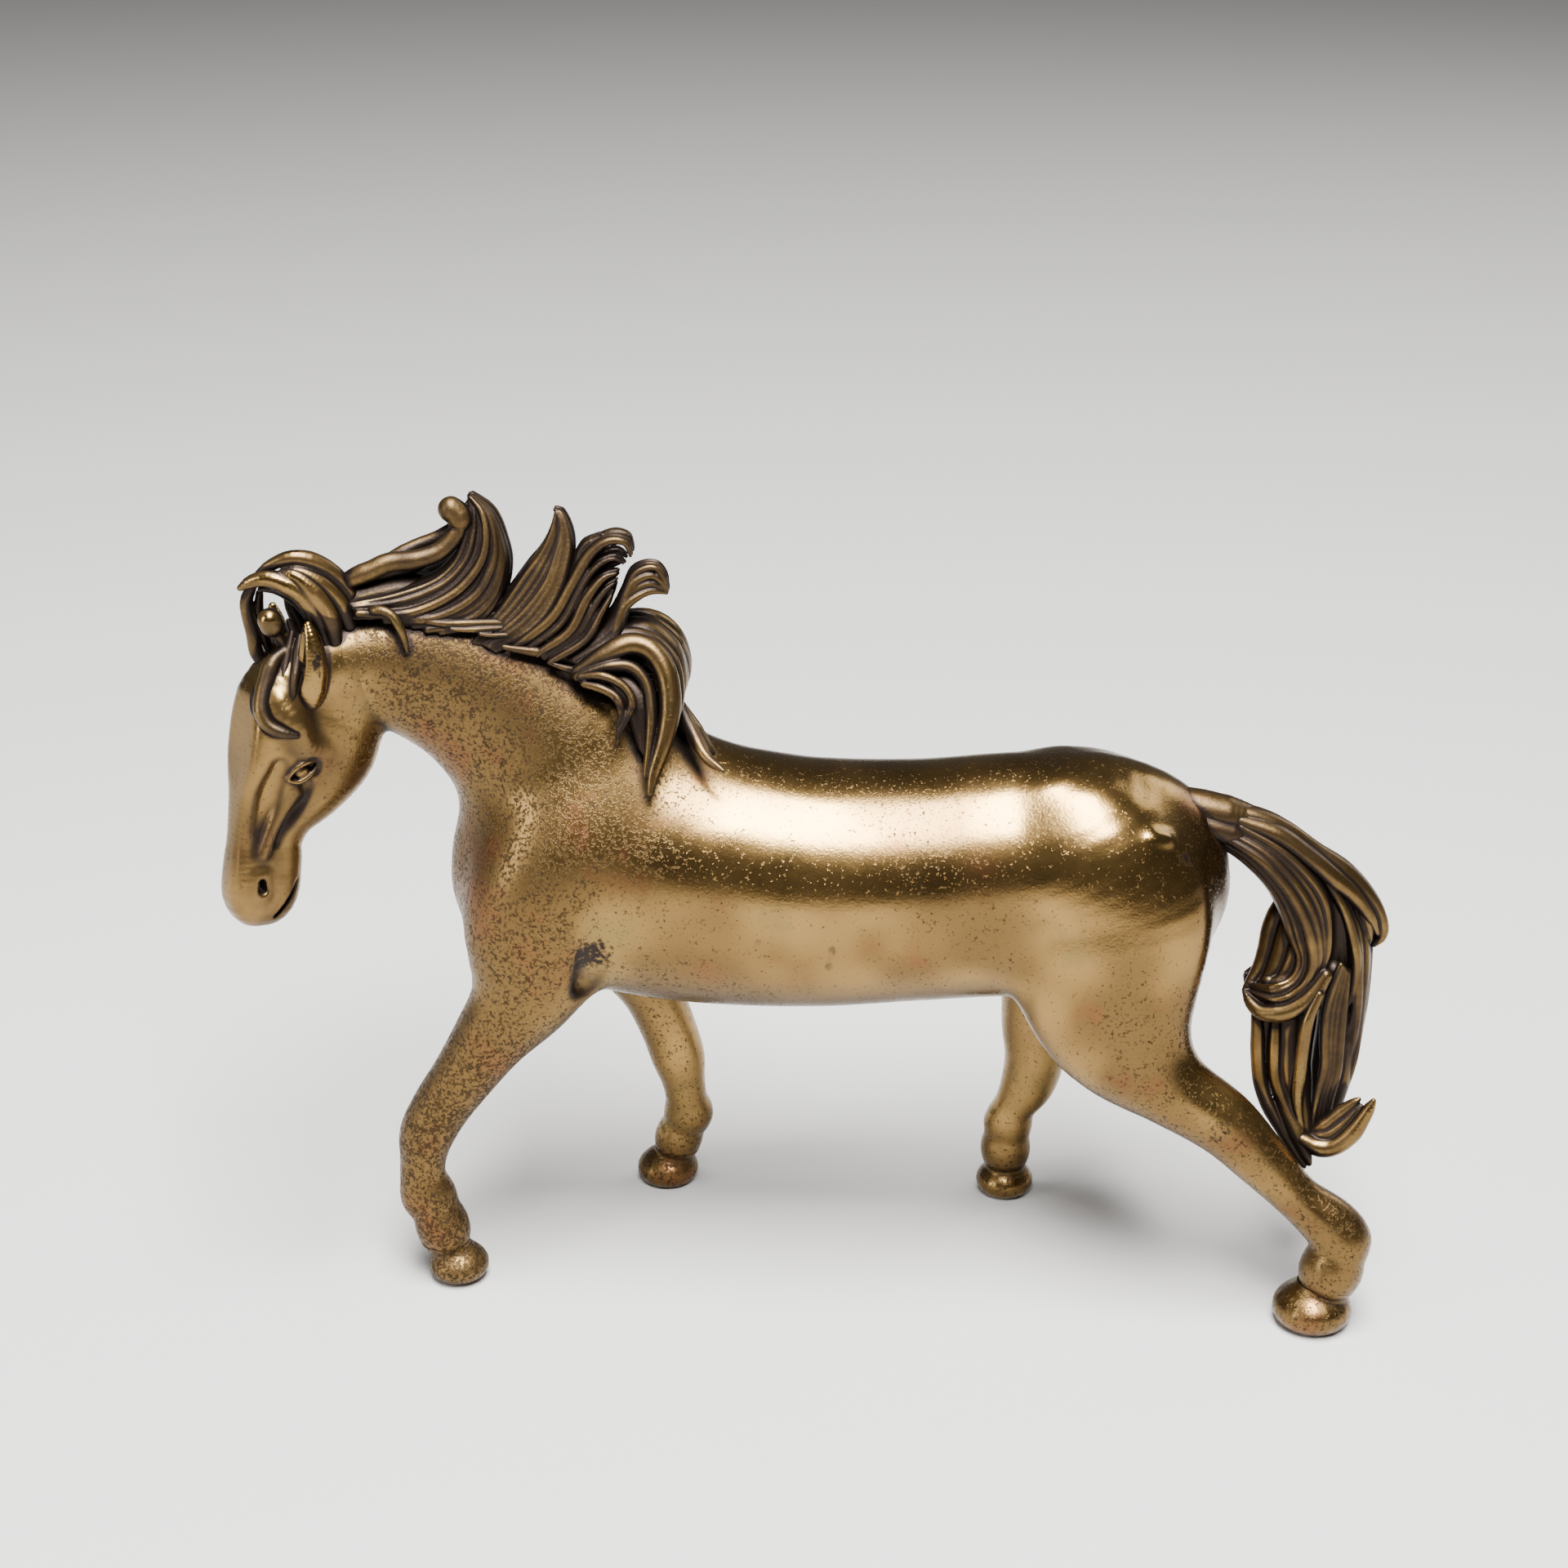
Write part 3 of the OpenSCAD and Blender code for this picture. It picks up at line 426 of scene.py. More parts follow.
hairLook = {
    "mane_poll_lock": {
        "guides": [[(-27.4, -3.2, 45.4), (-26.6, -3.4, 46.3), (-25.4, -3.2, 46.8), (-24.4, -2.9, 47.2),
                    (-23.0, -2.3, 47.2), (-21.6, -1.8, 47.6), (-20.6, -1.4, 48.6), (-20.4, -1.2, 49.5),
                    (-20.9, -1.2, 50.0)]],
        "thick": 0.62, "ball": 0.78, "farSide": False,
        "extra": [([(-25.0, -1.9, 46.9), (-23.2, -1.0, 47.6), (-21.6, -0.6, 48.2), (-20.4, -0.5, 49.2),
                    (-19.9, -0.6, 50.4)], 0.45),
                  ([(-26.8, -2.2, 45.8), (-25.0, -2.2, 46.4), (-23.0, -1.4, 46.8),
                    (-21.3, -0.9, 47.6)], 0.6)]},
    "mane_front_curl": {
        "guides": [[(-26.6, -4.0, 44.9), (-24.3, -3.4, 45.2), (-21.9, -2.6, 45.9), (-20.6, -2.0, 47.0),
                    (-20.0, -1.6, 48.5), (-19.8, -1.2, 49.9), (-19.9, -0.9, 50.7)],
                   [(-26.1, -4.2, 44.5), (-23.3, -3.4, 44.3), (-20.7, -2.6, 45.3), (-19.2, -1.9, 46.9),
                    (-18.8, -1.5, 48.5), (-19.1, -1.1, 49.9), (-19.8, -0.8, 50.7)],
                   [(-23.8, -3.6, 43.7), (-21.0, -2.9, 43.8), (-18.9, -2.2, 45.0), (-18.2, -1.6, 46.6),
                    (-18.2, -1.2, 48.2), (-18.7, -0.9, 49.7), (-19.6, -0.6, 50.6)],
                   [(-21.5, -3.2, 43.0), (-19.6, -2.6, 43.4), (-18.4, -2.0, 44.7), (-18.0, -1.4, 46.3),
                    (-18.1, -0.9, 47.8), (-18.7, -0.6, 49.4), (-19.5, -0.4, 50.4)]],
        "between": 2, "thick": 0.27, "fill": 0.42},
    "mane_spire": {
        "guides": [[(-19.6, -2.7, 42.3), (-17.9, -1.9, 44.2), (-16.5, -1.3, 46.1), (-15.6, -0.9, 47.3),
                    (-15.0, -0.6, 48.6), (-14.8, -0.4, 49.7)],
                   [(-18.9, -2.8, 42.2), (-16.9, -2.2, 43.7), (-15.4, -1.6, 45.5), (-14.8, -1.1, 47.0),
                    (-14.5, -0.7, 48.4), (-14.7, -0.4, 49.7)],
                   [(-18.3, -2.9, 41.9), (-16.0, -2.4, 43.2), (-14.7, -1.7, 45.1), (-14.2, -1.2, 46.8),
                    (-14.1, -0.8, 48.2), (-14.5, -0.5, 49.6), (-14.9, -0.4, 49.8)]],
        "between": 2, "thick": 0.27, "fill": 0.38},
    "mane_rear_curl": {
        "guides": [[(-16.4, -2.4, 42.8), (-14.6, -1.4, 44.4), (-13.8, -0.8, 46.2), (-13.2, -0.5, 47.6),
                    (-12.3, -0.4, 48.2)],
                   [(-17.2, -2.8, 42.0), (-15.0, -2.2, 43.7), (-13.8, -1.6, 45.6), (-12.8, -1.1, 47.3),
                    (-11.7, -0.9, 48.1), (-10.7, -0.8, 48.0), (-10.4, -0.8, 47.2)],
                   [(-15.8, -2.8, 41.7), (-13.9, -2.4, 43.0), (-12.9, -1.9, 44.9), (-12.0, -1.5, 46.0),
                    (-11.2, -1.3, 46.3)],
                   [(-15.0, -3.0, 41.3), (-13.0, -2.5, 42.5), (-12.1, -1.9, 44.0), (-11.5, -1.5, 45.0)]],
        "between": 1, "thick": 0.30, "fill": 0.45},
    "mane_flick": {
        "guides": [[(-14.2, -2.4, 41.3), (-11.9, -1.6, 42.8), (-10.8, -1.0, 44.6), (-10.2, -0.6, 46.0),
                    (-9.1, -0.4, 46.4), (-8.5, -0.4, 45.8), (-8.3, -0.4, 45.0)],
                   [(-13.4, -2.7, 41.1), (-11.4, -1.9, 42.3), (-10.9, -1.3, 44.0), (-9.9, -0.9, 44.8),
                    (-9.1, -0.6, 45.0), (-8.3, -0.4, 44.8)]],
        "between": 2, "thick": 0.30, "fill": 0.42},
    "mane_withers_lock": {
        "guides": [[(-13.4, -3.0, 40.6), (-11.9, -2.8, 41.6), (-10.4, -2.4, 42.2), (-9.1, -2.5, 41.9),
                    (-8.2, -3.0, 40.7), (-7.9, -3.7, 38.9), (-8.2, -4.5, 37.0), (-8.8, -5.2, 35.2),
                    (-9.0, -5.8, 34.1)]],
        "thick": 0.68, "farSide": True,
        "extra": [([(-13.0, -2.0, 41.4), (-11.4, -1.6, 42.3), (-9.6, -1.4, 42.2), (-8.2, -1.6, 41.0),
                    (-7.6, -2.4, 39.2), (-7.8, -3.4, 37.4)], 0.6),
                  ([(-13.4, -3.5, 40.5), (-11.6, -3.3, 41.1), (-10.2, -3.1, 41.0), (-9.3, -3.4, 40.0),
                    (-9.0, -4.1, 38.3), (-9.1, -4.8, 36.5), (-9.3, -5.4, 35.0)], 0.38),
                  ([(-12.6, -1.6, 39.6), (-11.2, -2.2, 39.9), (-10.0, -2.8, 39.1), (-9.6, -3.4, 37.5),
                    (-9.4, -4.0, 36.0)], 0.85),
                  ([(-12.0, 0.0, 41.4), (-10.0, 0.0, 42.0), (-8.4, -0.2, 40.6), (-7.6, -0.6, 38.6)], 1.1)]},
    "mane_inner_wisp": {
        "guides": [[(-13.2, -3.7, 40.6), (-11.8, -3.9, 40.7), (-10.6, -4.0, 40.1), (-10.1, -4.3, 39.2),
                    (-10.5, -4.7, 38.2), (-10.9, -5.0, 37.4), (-10.9, -5.2, 36.8)],
                   [(-13.0, -3.9, 40.2), (-11.9, -4.1, 40.0), (-11.0, -4.3, 39.5), (-10.7, -4.6, 38.6),
                    (-11.0, -4.9, 37.8)]],
        "between": 0, "thick": 0.28, "farSide": True},
    "mane_end_lock": {
        "guides": [[(-8.3, -0.6, 38.6), (-7.4, -1.6, 37.7), (-6.6, -2.8, 36.6), (-5.8, -3.9, 35.7),
                    (-4.7, -4.8, 35.2)]],
        "thick": 0.46, "farSide": False,
        "extra": [([(-8.6, 0.0, 38.2), (-7.6, -0.4, 37.0), (-6.6, -0.9, 35.8), (-5.6, -1.4, 34.8)], 0.7)]},
    "mane_neck_wisp": {
        "guides": [[(-25.8, -3.9, 44.3), (-25.0, -4.3, 44.7), (-24.2, -4.4, 44.5), (-23.7, -4.5, 43.8),
                    (-23.4, -4.5, 42.9), (-23.3, -4.5, 42.2)]],
        "thick": 0.3, "farSide": True},
    "forelock_crown_lock": {
        "guides": [[(-26.4, -3.0, 43.8), (-26.9, -3.4, 45.6), (-27.7, -3.9, 46.9), (-28.8, -4.3, 47.7),
                    (-29.9, -4.6, 47.9), (-31.0, -4.7, 47.5), (-31.8, -4.8, 47.0)],
                   [(-26.8, -3.8, 43.6), (-27.3, -4.2, 45.2), (-28.2, -4.6, 46.4), (-29.2, -4.8, 47.1),
                    (-30.2, -4.9, 47.3)]],
        "between": 0, "thick": 0.56, "farSide": False,
        "extra": [([(-26.6, -2.4, 43.9), (-27.0, -2.6, 45.4), (-28.0, -2.9, 46.6), (-29.2, -3.3, 47.2),
                    (-30.4, -3.8, 47.2)], 0.5),
                  ([(-27.6, -3.0, 42.6), (-28.2, -3.2, 44.4), (-29.4, -3.6, 45.6),
                    (-30.4, -4.0, 46.0)], 0.7)]},
    "forelock_arch_lock": {
        "guides": [[(-28.1, -4.4, 42.6), (-28.4, -4.7, 44.3), (-29.1, -4.9, 45.7), (-30.0, -5.0, 46.4),
                    (-31.1, -5.1, 46.8), (-32.1, -5.1, 46.6), (-32.8, -5.1, 46.2)],
                   [(-27.6, -4.4, 42.8), (-27.8, -4.7, 44.4), (-28.4, -4.9, 45.8), (-29.3, -5.0, 46.8),
                    (-30.3, -5.0, 47.2)]],
        "between": 0, "thick": 0.66, "farSide": False,
        "extra": [([(-28.6, -4.2, 42.4), (-28.8, -4.4, 44.0), (-29.6, -4.6, 45.3), (-30.8, -4.7, 46.0),
                    (-31.8, -4.7, 46.0)], 0.4)]},
    "forelock_side_wisp": {
        "guides": [[(-32.2, -4.7, 46.2), (-32.6, -4.6, 45.3), (-32.6, -4.5, 44.4), (-32.4, -4.5, 43.2),
                    (-32.3, -4.5, 42.1), (-32.0, -4.5, 41.3), (-32.3, -4.4, 40.3), (-32.5, -4.2, 39.4)]],
        "thick": 0.42, "farSide": False,
        "extra": [([(-31.9, -4.2, 45.6), (-32.1, -4.0, 44.2), (-31.9, -3.9, 42.8), (-31.5, -3.9, 41.6),
                    (-31.0, -4.0, 40.6)], 0.32)]},
    "forelock_curl": {
        "guides": [[(-29.6, -4.6, 40.8), (-30.2, -4.8, 42.0), (-30.6, -5.1, 43.0), (-30.9, -5.4, 43.8),
                    (-31.1, -5.5, 44.4)]],
        "thick": 0.4, "ball": 0.72, "farSide": False,
        "extra": [([(-29.2, -4.2, 40.8), (-29.5, -4.4, 42.2), (-29.9, -4.6, 43.4), (-30.2, -4.8, 44.2)], 0.4),
                  ([(-28.8, -3.6, 40.6), (-29.2, -3.6, 42.2), (-29.8, -3.8, 43.8),
                    (-30.4, -4.0, 45.2)], 0.55)]},
    "forelock_brow_lock": {
        "guides": [[(-30.4, -5.2, 42.4), (-31.0, -5.8, 41.9), (-31.3, -6.3, 41.0), (-31.5, -6.8, 40.1),
                    (-31.5, -7.2, 39.3), (-31.1, -7.5, 38.6), (-30.3, -7.6, 38.2), (-29.5, -7.5, 38.0)]],
        "thick": 0.54, "farSide": False,
        "extra": [([(-30.9, -5.2, 41.6), (-31.6, -5.8, 41.0), (-32.0, -6.3, 40.2), (-32.1, -6.8, 39.4),
                    (-31.8, -7.1, 38.7)], 0.3),
                  ([(-30.0, -4.8, 43.4), (-30.2, -5.4, 42.2), (-30.4, -6.1, 41.0), (-30.5, -6.5, 40.0),
                    (-30.5, -6.9, 39.2)], 0.3),
                  ([(-29.5, -4.9, 43.2), (-29.6, -5.6, 42.0), (-29.7, -6.3, 40.9),
                    (-29.8, -6.8, 39.9)], 0.32),
                  ([(-29.0, -4.9, 43.0), (-29.0, -5.6, 41.8), (-29.1, -6.3, 40.8)], 0.3),
                  ([(-30.2, -4.8, 41.2), (-30.8, -5.4, 40.6), (-31.2, -6.0, 39.8)], 0.6)]},
    "tail_dock": {
        "guides": [[(20.6, -0.1, 31.0), (22.0, -0.1, 31.5), (23.6, -0.1, 31.5), (25.2, -0.2, 31.2),
                    (27.0, -0.2, 30.8), (28.6, -0.3, 30.0)]],
        "thick": 1.25, "farSide": False,
        "extra": [([(22.6, -0.9, 30.9), (24.2, -1.0, 30.7), (26.0, -1.0, 30.2), (27.8, -1.0, 29.4)], 0.8)]},
    "tail_top_lock": {
        "guides": [[(25.6, -0.2, 31.5), (27.4, -0.2, 31.1), (29.2, -0.3, 30.2), (31.0, -0.4, 28.9),
                    (32.7, -0.5, 27.8), (34.1, -0.6, 26.5), (35.2, -0.6, 25.0), (35.6, -0.7, 23.6),
                    (35.1, -0.7, 22.9)],
                   [(26.4, -0.9, 31.0), (28.6, -1.0, 30.2), (30.6, -1.1, 28.8), (32.2, -1.1, 27.5),
                    (33.5, -1.1, 26.4), (34.6, -1.0, 25.0), (35.2, -0.9, 23.8)]],
        "between": 0, "thick": 0.66, "farSide": True},
    "tail_inner_lock": {
        "guides": [[(26.4, -1.3, 30.8), (28.7, -1.7, 29.6), (30.5, -1.9, 28.0), (31.6, -2.0, 26.4),
                    (32.0, -2.1, 24.6), (32.0, -2.3, 22.8), (31.4, -2.5, 21.1), (30.2, -2.7, 19.8),
                    (28.8, -2.5, 19.3), (27.6, -1.7, 19.5)],
                   [(25.4, -1.3, 30.2), (27.6, -1.8, 29.0), (29.3, -2.1, 27.3), (30.4, -2.3, 25.5),
                    (31.0, -2.4, 23.8), (31.2, -2.5, 22.2), (30.6, -2.6, 20.8), (29.3, -2.7, 20.0),
                    (28.3, -2.1, 19.9), (27.5, -1.4, 19.9)],
                   [(24.8, -1.0, 29.9), (26.9, -1.3, 28.6), (28.5, -1.5, 27.0), (29.5, -1.6, 25.2),
                    (30.0, -1.7, 23.8), (30.5, -1.9, 22.4), (30.1, -2.2, 21.2), (29.0, -2.4, 20.7),
                    (28.2, -1.8, 20.4), (27.5, -1.1, 20.3)]],
        "between": 2, "thick": 0.30, "fill": 0.42,
        "extra": [([(32.0, -2.6, 21.6), (31.1, -2.9, 20.2), (29.8, -3.0, 19.3), (28.4, -2.7, 19.0),
                    (27.7, -2.1, 19.3), (27.3, -1.5, 19.8)], 0.6),
                  ([(29.6, 0.3, 25.6), (28.9, 0.2, 23.6), (28.6, -0.2, 21.9), (28.0, -0.8, 20.7),
                    (27.3, -1.3, 19.9)], 0.6),
                  ([(30.2, -0.4, 25.4), (29.7, -0.5, 23.4), (29.3, -0.8, 21.8), (28.7, -1.2, 20.6),
                    (27.8, -1.5, 19.8)], 0.6),
                  ([(30.8, -0.9, 25.0), (30.4, -1.0, 23.0), (30.0, -1.2, 21.6), (29.4, -1.5, 20.6),
                    (28.4, -1.8, 19.9)], 0.6)],
        "farExtra": False},
    "tail_far_lock": {
        "guides": [[(29.0, 0.6, 26.6), (29.6, 0.9, 24.6), (29.5, 1.0, 22.9), (29.0, 1.0, 21.0),
                    (28.5, 0.6, 19.4), (28.2, 0.0, 18.0), (28.2, -0.6, 16.8)],
                   [(30.2, 1.2, 26.4), (30.8, 1.4, 24.4), (30.7, 1.4, 22.4), (30.2, 1.2, 20.4),
                    (29.6, 0.8, 18.6)]],
        "between": 2, "thick": 0.36, "farSide": False},
    "tail_back_lock": {
        "guides": [[(31.6, -1.2, 27.6), (32.8, -1.5, 25.9), (33.5, -1.7, 24.2), (33.9, -1.9, 22.4),
                    (33.8, -2.1, 20.6), (33.4, -2.3, 19.0)],
                   [(33.4, -0.8, 25.8), (34.2, -1.2, 23.8), (34.4, -1.6, 21.8), (34.3, -2.0, 19.6),
                    (34.2, -2.3, 17.5), (34.1, -2.6, 15.6), (33.7, -2.9, 13.9), (33.1, -3.2, 12.8)],
                   [(33.8, -0.2, 25.2), (34.6, -0.4, 23.2), (34.7, -0.9, 21.0), (34.6, -1.3, 18.8),
                    (34.4, -1.8, 16.6), (34.0, -2.3, 14.6)]],
        "between": 2, "thick": 0.28, "fill": 0.42, "farSide": True,
        "extra": [([(31.4, -0.2, 28.2), (32.6, -0.2, 26.0), (33.0, -0.3, 23.5), (32.8, -0.6, 20.5),
                    (32.4, -1.1, 17.5), (32.0, -1.8, 14.5), (31.7, -2.6, 12.2)], 1.1),
                  ([(33.6, -0.6, 26.4), (34.4, -0.7, 24.8), (34.7, -0.8, 23.0)], 0.62),
                  ([(33.5, -1.8, 18.4), (33.3, -2.3, 15.8), (33.0, -3.0, 13.4), (32.6, -3.6, 11.6)], 0.85)]},
    "tail_middle_lock": {
        "guides": [[(32.9, -2.4, 22.2), (32.2, -2.9, 19.9), (32.1, -3.3, 17.7), (32.2, -3.6, 15.9),
                    (31.9, -3.9, 14.2), (31.7, -4.2, 12.5), (31.8, -4.4, 11.2)],
                   [(33.4, -2.2, 21.6), (33.2, -2.6, 19.6), (33.1, -3.0, 17.5), (33.0, -3.4, 15.5),
                    (32.7, -3.7, 13.7), (32.5, -4.0, 12.0), (32.2, -4.2, 10.8)]],
        "between": 2, "thick": 0.3, "farSide": False,
        "extra": [([(32.6, -1.4, 21.4), (32.8, -1.8, 18.8), (32.6, -2.3, 16.2), (32.4, -3.0, 13.6),
                    (32.0, -3.6, 11.6)], 1.0)]},
    "tail_lower_lock": {
        "guides": [[(28.0, -2.2, 19.0), (28.1, -2.5, 17.6), (28.2, -2.8, 16.0), (28.4, -3.2, 14.5),
                    (28.9, -3.8, 13.2), (29.7, -4.4, 11.9), (30.5, -4.9, 10.7), (31.2, -5.4, 9.8)],
                   [(29.2, -2.4, 18.6), (29.2, -2.8, 16.8), (29.3, -3.2, 15.0), (29.8, -3.8, 13.6),
                    (30.5, -4.3, 12.4), (31.2, -4.7, 11.2)]],
        "between": 0, "thick": 0.45, "farSide": False,
        "extra": [([(31.6, -3.2, 20.6), (31.0, -3.5, 19.0), (30.8, -3.7, 17.2), (30.7, -3.9, 15.5),
                    (30.6, -4.1, 14.0), (30.8, -4.4, 12.6), (31.2, -4.6, 11.4)], 0.42),
                  ([(28.8, -1.3, 20.4), (28.8, -1.6, 18.0), (29.2, -2.1, 15.6), (30.0, -2.9, 13.4),
                    (31.0, -3.8, 11.6)], 0.85),
                  ([(30.6, -1.6, 20.4), (30.2, -2.0, 17.6), (30.4, -2.8, 15.0), (31.0, -3.8, 12.4),
                    (31.6, -4.4, 10.8)], 1.0),
                  ([(29.6, -3.2, 14.2), (30.2, -4.0, 12.6), (30.9, -4.7, 11.2), (31.5, -5.3, 10.0)], 0.62)]},
    "tail_tip_curl": {
        "guides": [[(31.0, -4.8, 11.4), (32.0, -5.0, 11.0), (33.0, -5.1, 11.2), (33.9, -5.2, 12.1),
                    (34.6, -5.2, 13.3), (35.1, -5.2, 14.4)]],
        "thick": 0.62, "farSide": False,
        "extra": [([(31.8, -4.4, 11.8), (32.6, -4.5, 12.5), (33.3, -4.6, 13.3), (34.3, -4.8, 14.3)], 0.46),
                  ([(31.6, -4.5, 11.4), (32.7, -4.7, 11.8), (33.6, -4.8, 12.7), (34.4, -4.9, 13.9)], 0.5)]},
}

# the crest band: strands that leave the edge of the mane and run up and back
crestLook = {"bottom": [(-27.0, -4.2, 44.0), (-24.0, -4.0, 43.9), (-21.0, -3.7, 43.1), (-18.0, -3.4, 42.2),
                        (-15.6, -3.3, 41.4), (-13.4, -3.5, 40.3), (-12.0, -3.7, 39.4)],
             "top": [(-27.4, -3.0, 45.3), (-24.6, -2.2, 46.0), (-21.4, -1.2, 45.6), (-18.0, -0.6, 45.0),
                     (-14.6, -0.3, 43.4), (-11.6, 0.0, 41.6), (-9.0, 0.0, 39.4)],
             "count": 10, "drift": 0.36, "thick": 0.25, "core": 1.3}


def resampled(line, count=26):
    rows = smoothed(line, 0.15)
    run = np.concatenate([[0], np.cumsum(np.linalg.norm(np.diff(rows, axis=0), axis=1))])
    at = np.linspace(0, run[-1], count)
    return np.stack([np.interp(at, run, rows[:, i]) for i in range(3)], axis=1)


def strand(line, thick, ball=None, start=0.75):
    # a tapered strand, with a bead at its tip if ball gives its size
    rows = resampled(line)
    u = np.linspace(0, 1, len(rows))
    size = thick * np.interp(u, [0, 0.2, 0.6, 0.9, 1], [start, 1, 1, 0.62, 0.3])
    if ball:
        size = thick * np.interp(u, [0, 0.2, 0.85], [start, 1, 0.9])
        size[-3:] = ball
    return np.column_stack([rows, size, size])


def farCopy(rows, middle):
    out = rows.copy()
    out[:, 1] = 2 * middle(rows[:, 0]) - rows[:, 1]
    return out


def crestMiddle(x):
    return np.interp(x, crestLine[:, 0], crestLine[:, 1])


def tailMiddle(x):
    return np.full(np.shape(x), -0.35)


def strandsOf(name, look):
    middle = tailMiddle if name.startswith("tail") else crestMiddle
    lines = [resampled(g) for g in look["guides"]]
    fan = [lines[0]]
    for a, b in zip(lines[:-1], lines[1:]):
        extra = look.get("between", 0)
        fan += [a + (b - a) * k / (extra + 1) for k in range(1, extra + 2)]
    chance = np.random.default_rng(len(name) + len(fan))
    out = []
    for i, f in enumerate(fan):
        outward = np.sign(f[:, 1] - middle(f[:, 0]))
        uneven = chance.uniform(-0.12, 0.16) if len(fan) > 2 else 0
        f = f + np.column_stack([0 * outward, uneven * outward, 0 * outward])
        thick = look["thick"] * (chance.uniform(0.8, 1.25) if len(fan) > 2 else 1)
        out.append(strand(f, thick, look.get("ball") if i == 0 else None))
        if look.get("fill"):
            # a flat web that runs from the strand in to the middle of the lock
            off = f[:, 1] - middle(f[:, 0])
            web = strand(f, look["fill"])
            web[:, 1] = middle(f[:, 0]) + 0.5 * off
            taper = np.interp(np.linspace(0, 1, len(off)), [0, 0.7, 1], [1, 1, 0.3])
            web[:, 3] = np.maximum(0.5 * np.abs(off) * taper, 0.1)
            web[:, 4] = np.minimum(web[:, 4], web[:, 3] * 3)
            out.append(web)
    extra = [strand(line, thick) for line, thick in look.get("extra", [])]
    if look.get("farExtra", True):
        out += extra
    if look.get("farSide", True):
        out += [farCopy(s, middle) for s in out]
    return out if look.get("farExtra", True) else out + extra


def crestStrands():
    low, high = resampled(crestLook["bottom"], 60), resampled(crestLook["top"], 60)
    chance = np.random.default_rng(5)
    u = np.linspace(0, 1, 14)
    out = []
    for start in np.linspace(0.02, 0.86, crestLook["count"]):
        begin = start + chance.uniform(-0.03, 0.03)
        at = np.clip(begin + crestLook["drift"] * chance.uniform(0.7, 1.4) * u, 0, 1) * 59
        rise = (u ** 1.5)[:, None]
        a = np.stack([np.interp(at, np.arange(60), low[:, i]) for i in range(3)], axis=1)
        b = np.stack([np.interp(at, np.arange(60), high[:, i]) for i in range(3)], axis=1)
        line = a + (b - a) * (rise * 0.85 + chance.uniform(0.0, 0.15))
        out.append(strand(line, crestLook["thick"] * chance.uniform(0.8, 1.3), start=0.5))
    middle = (low + high) / 2
    middle[:, 1] = crestMiddle(middle[:, 0]) + 0.2 * (middle[:, 1] - crestMiddle(middle[:, 0]))
    out.append(strand(middle, crestLook["core"], start=0.9))
    return out + [farCopy(s, crestMiddle) for s in out]


def buildHair(strands, step=0.08):
    every = np.vstack(strands)
    edge = every[:, 3].max() + 1.0
    clay = Clay(every[:, :3].min(0) - edge, every[:, :3].max(0) + edge, step, 0.9)
    for rows in strands:
        clay.field = softMin(clay.field, clay.tube(rows, side=(0.1, 1, 0.05), gap=0.35), 0.07)
    return clay


hairStrands = {name: strandsOf(name, look) for name, look in hairLook.items()}
hairStrands["mane_crest"] = crestStrands()
with ThreadPoolExecutor(4) as hands:
    hairClays = dict(zip(hairStrands, hands.map(buildHair, hairStrands.values())))
print("hair formed,", len(hairClays), "locks")

earClays = {"left_ear": buildEar(False), "right_ear": buildEar(True)}
clays = [bodyClay, headClay] + list(hoofClays.values()) + list(earClays.values()) + list(hairClays.values())

# ---- cutting the body into its sections


def loftMesh(name, stations, side=(0, 1, 0), count=32, gap=0.8):
    # a closed tube through the stations, used only as a cutter
    rows = smoothed(stations, gap)
    side = np.array(side, float)
    points, faces = [], []
    last = len(rows) - 1
    for i, r in enumerate(rows):
        along = unit(rows[min(i + 1, last)][:3] - rows[max(i - 1, 0)][:3])
        wide = unit(side - side @ along * along)
        deep = np.cross(along, wide)
        for k in range(count):
            a = 2 * math.pi * k / count
            points.append(r[:3] + r[3] * math.cos(a) * wide + r[4] * math.sin(a) * deep)
    for i in range(last):
        for k in range(count):
            n = (k + 1) % count
            faces.append([i * count + k, i * count + n, (i + 1) * count + n, (i + 1) * count + k])
    faces.append(list(range(count - 1, -1, -1)))
    faces.append(list(range(last * count, last * count + count)))
    mesh = bpy.data.meshes.new(name)
    mesh.from_pydata([((p + drawnShift) * mm).tolist() for p in points], [], faces)
    mesh.update()
    cutter = bpy.data.objects.new(name, mesh)
    bpy.context.scene.collection.objects.link(cutter)
    return cutter


def wider(stations, by):
    s = np.array(stations, float)
    s[:, 3:] += by
    return s


def cutWith(piece, cutter, how):
    mod = piece.modifiers.new("cut", "BOOLEAN")
    mod.operation = how
    mod.solver = "MANIFOLD"
    mod.object = cutter
    bpy.context.view_layer.update()
    shaped = bpy.data.meshes.new_from_object(piece.evaluated_get(bpy.context.evaluated_depsgraph_get()))
    piece.modifiers.remove(mod)
    piece.data = shaped


def copyOf(piece, name):
    twin = bpy.data.objects.new(name, piece.data.copy())
    bpy.context.scene.collection.objects.link(twin)
    return twin


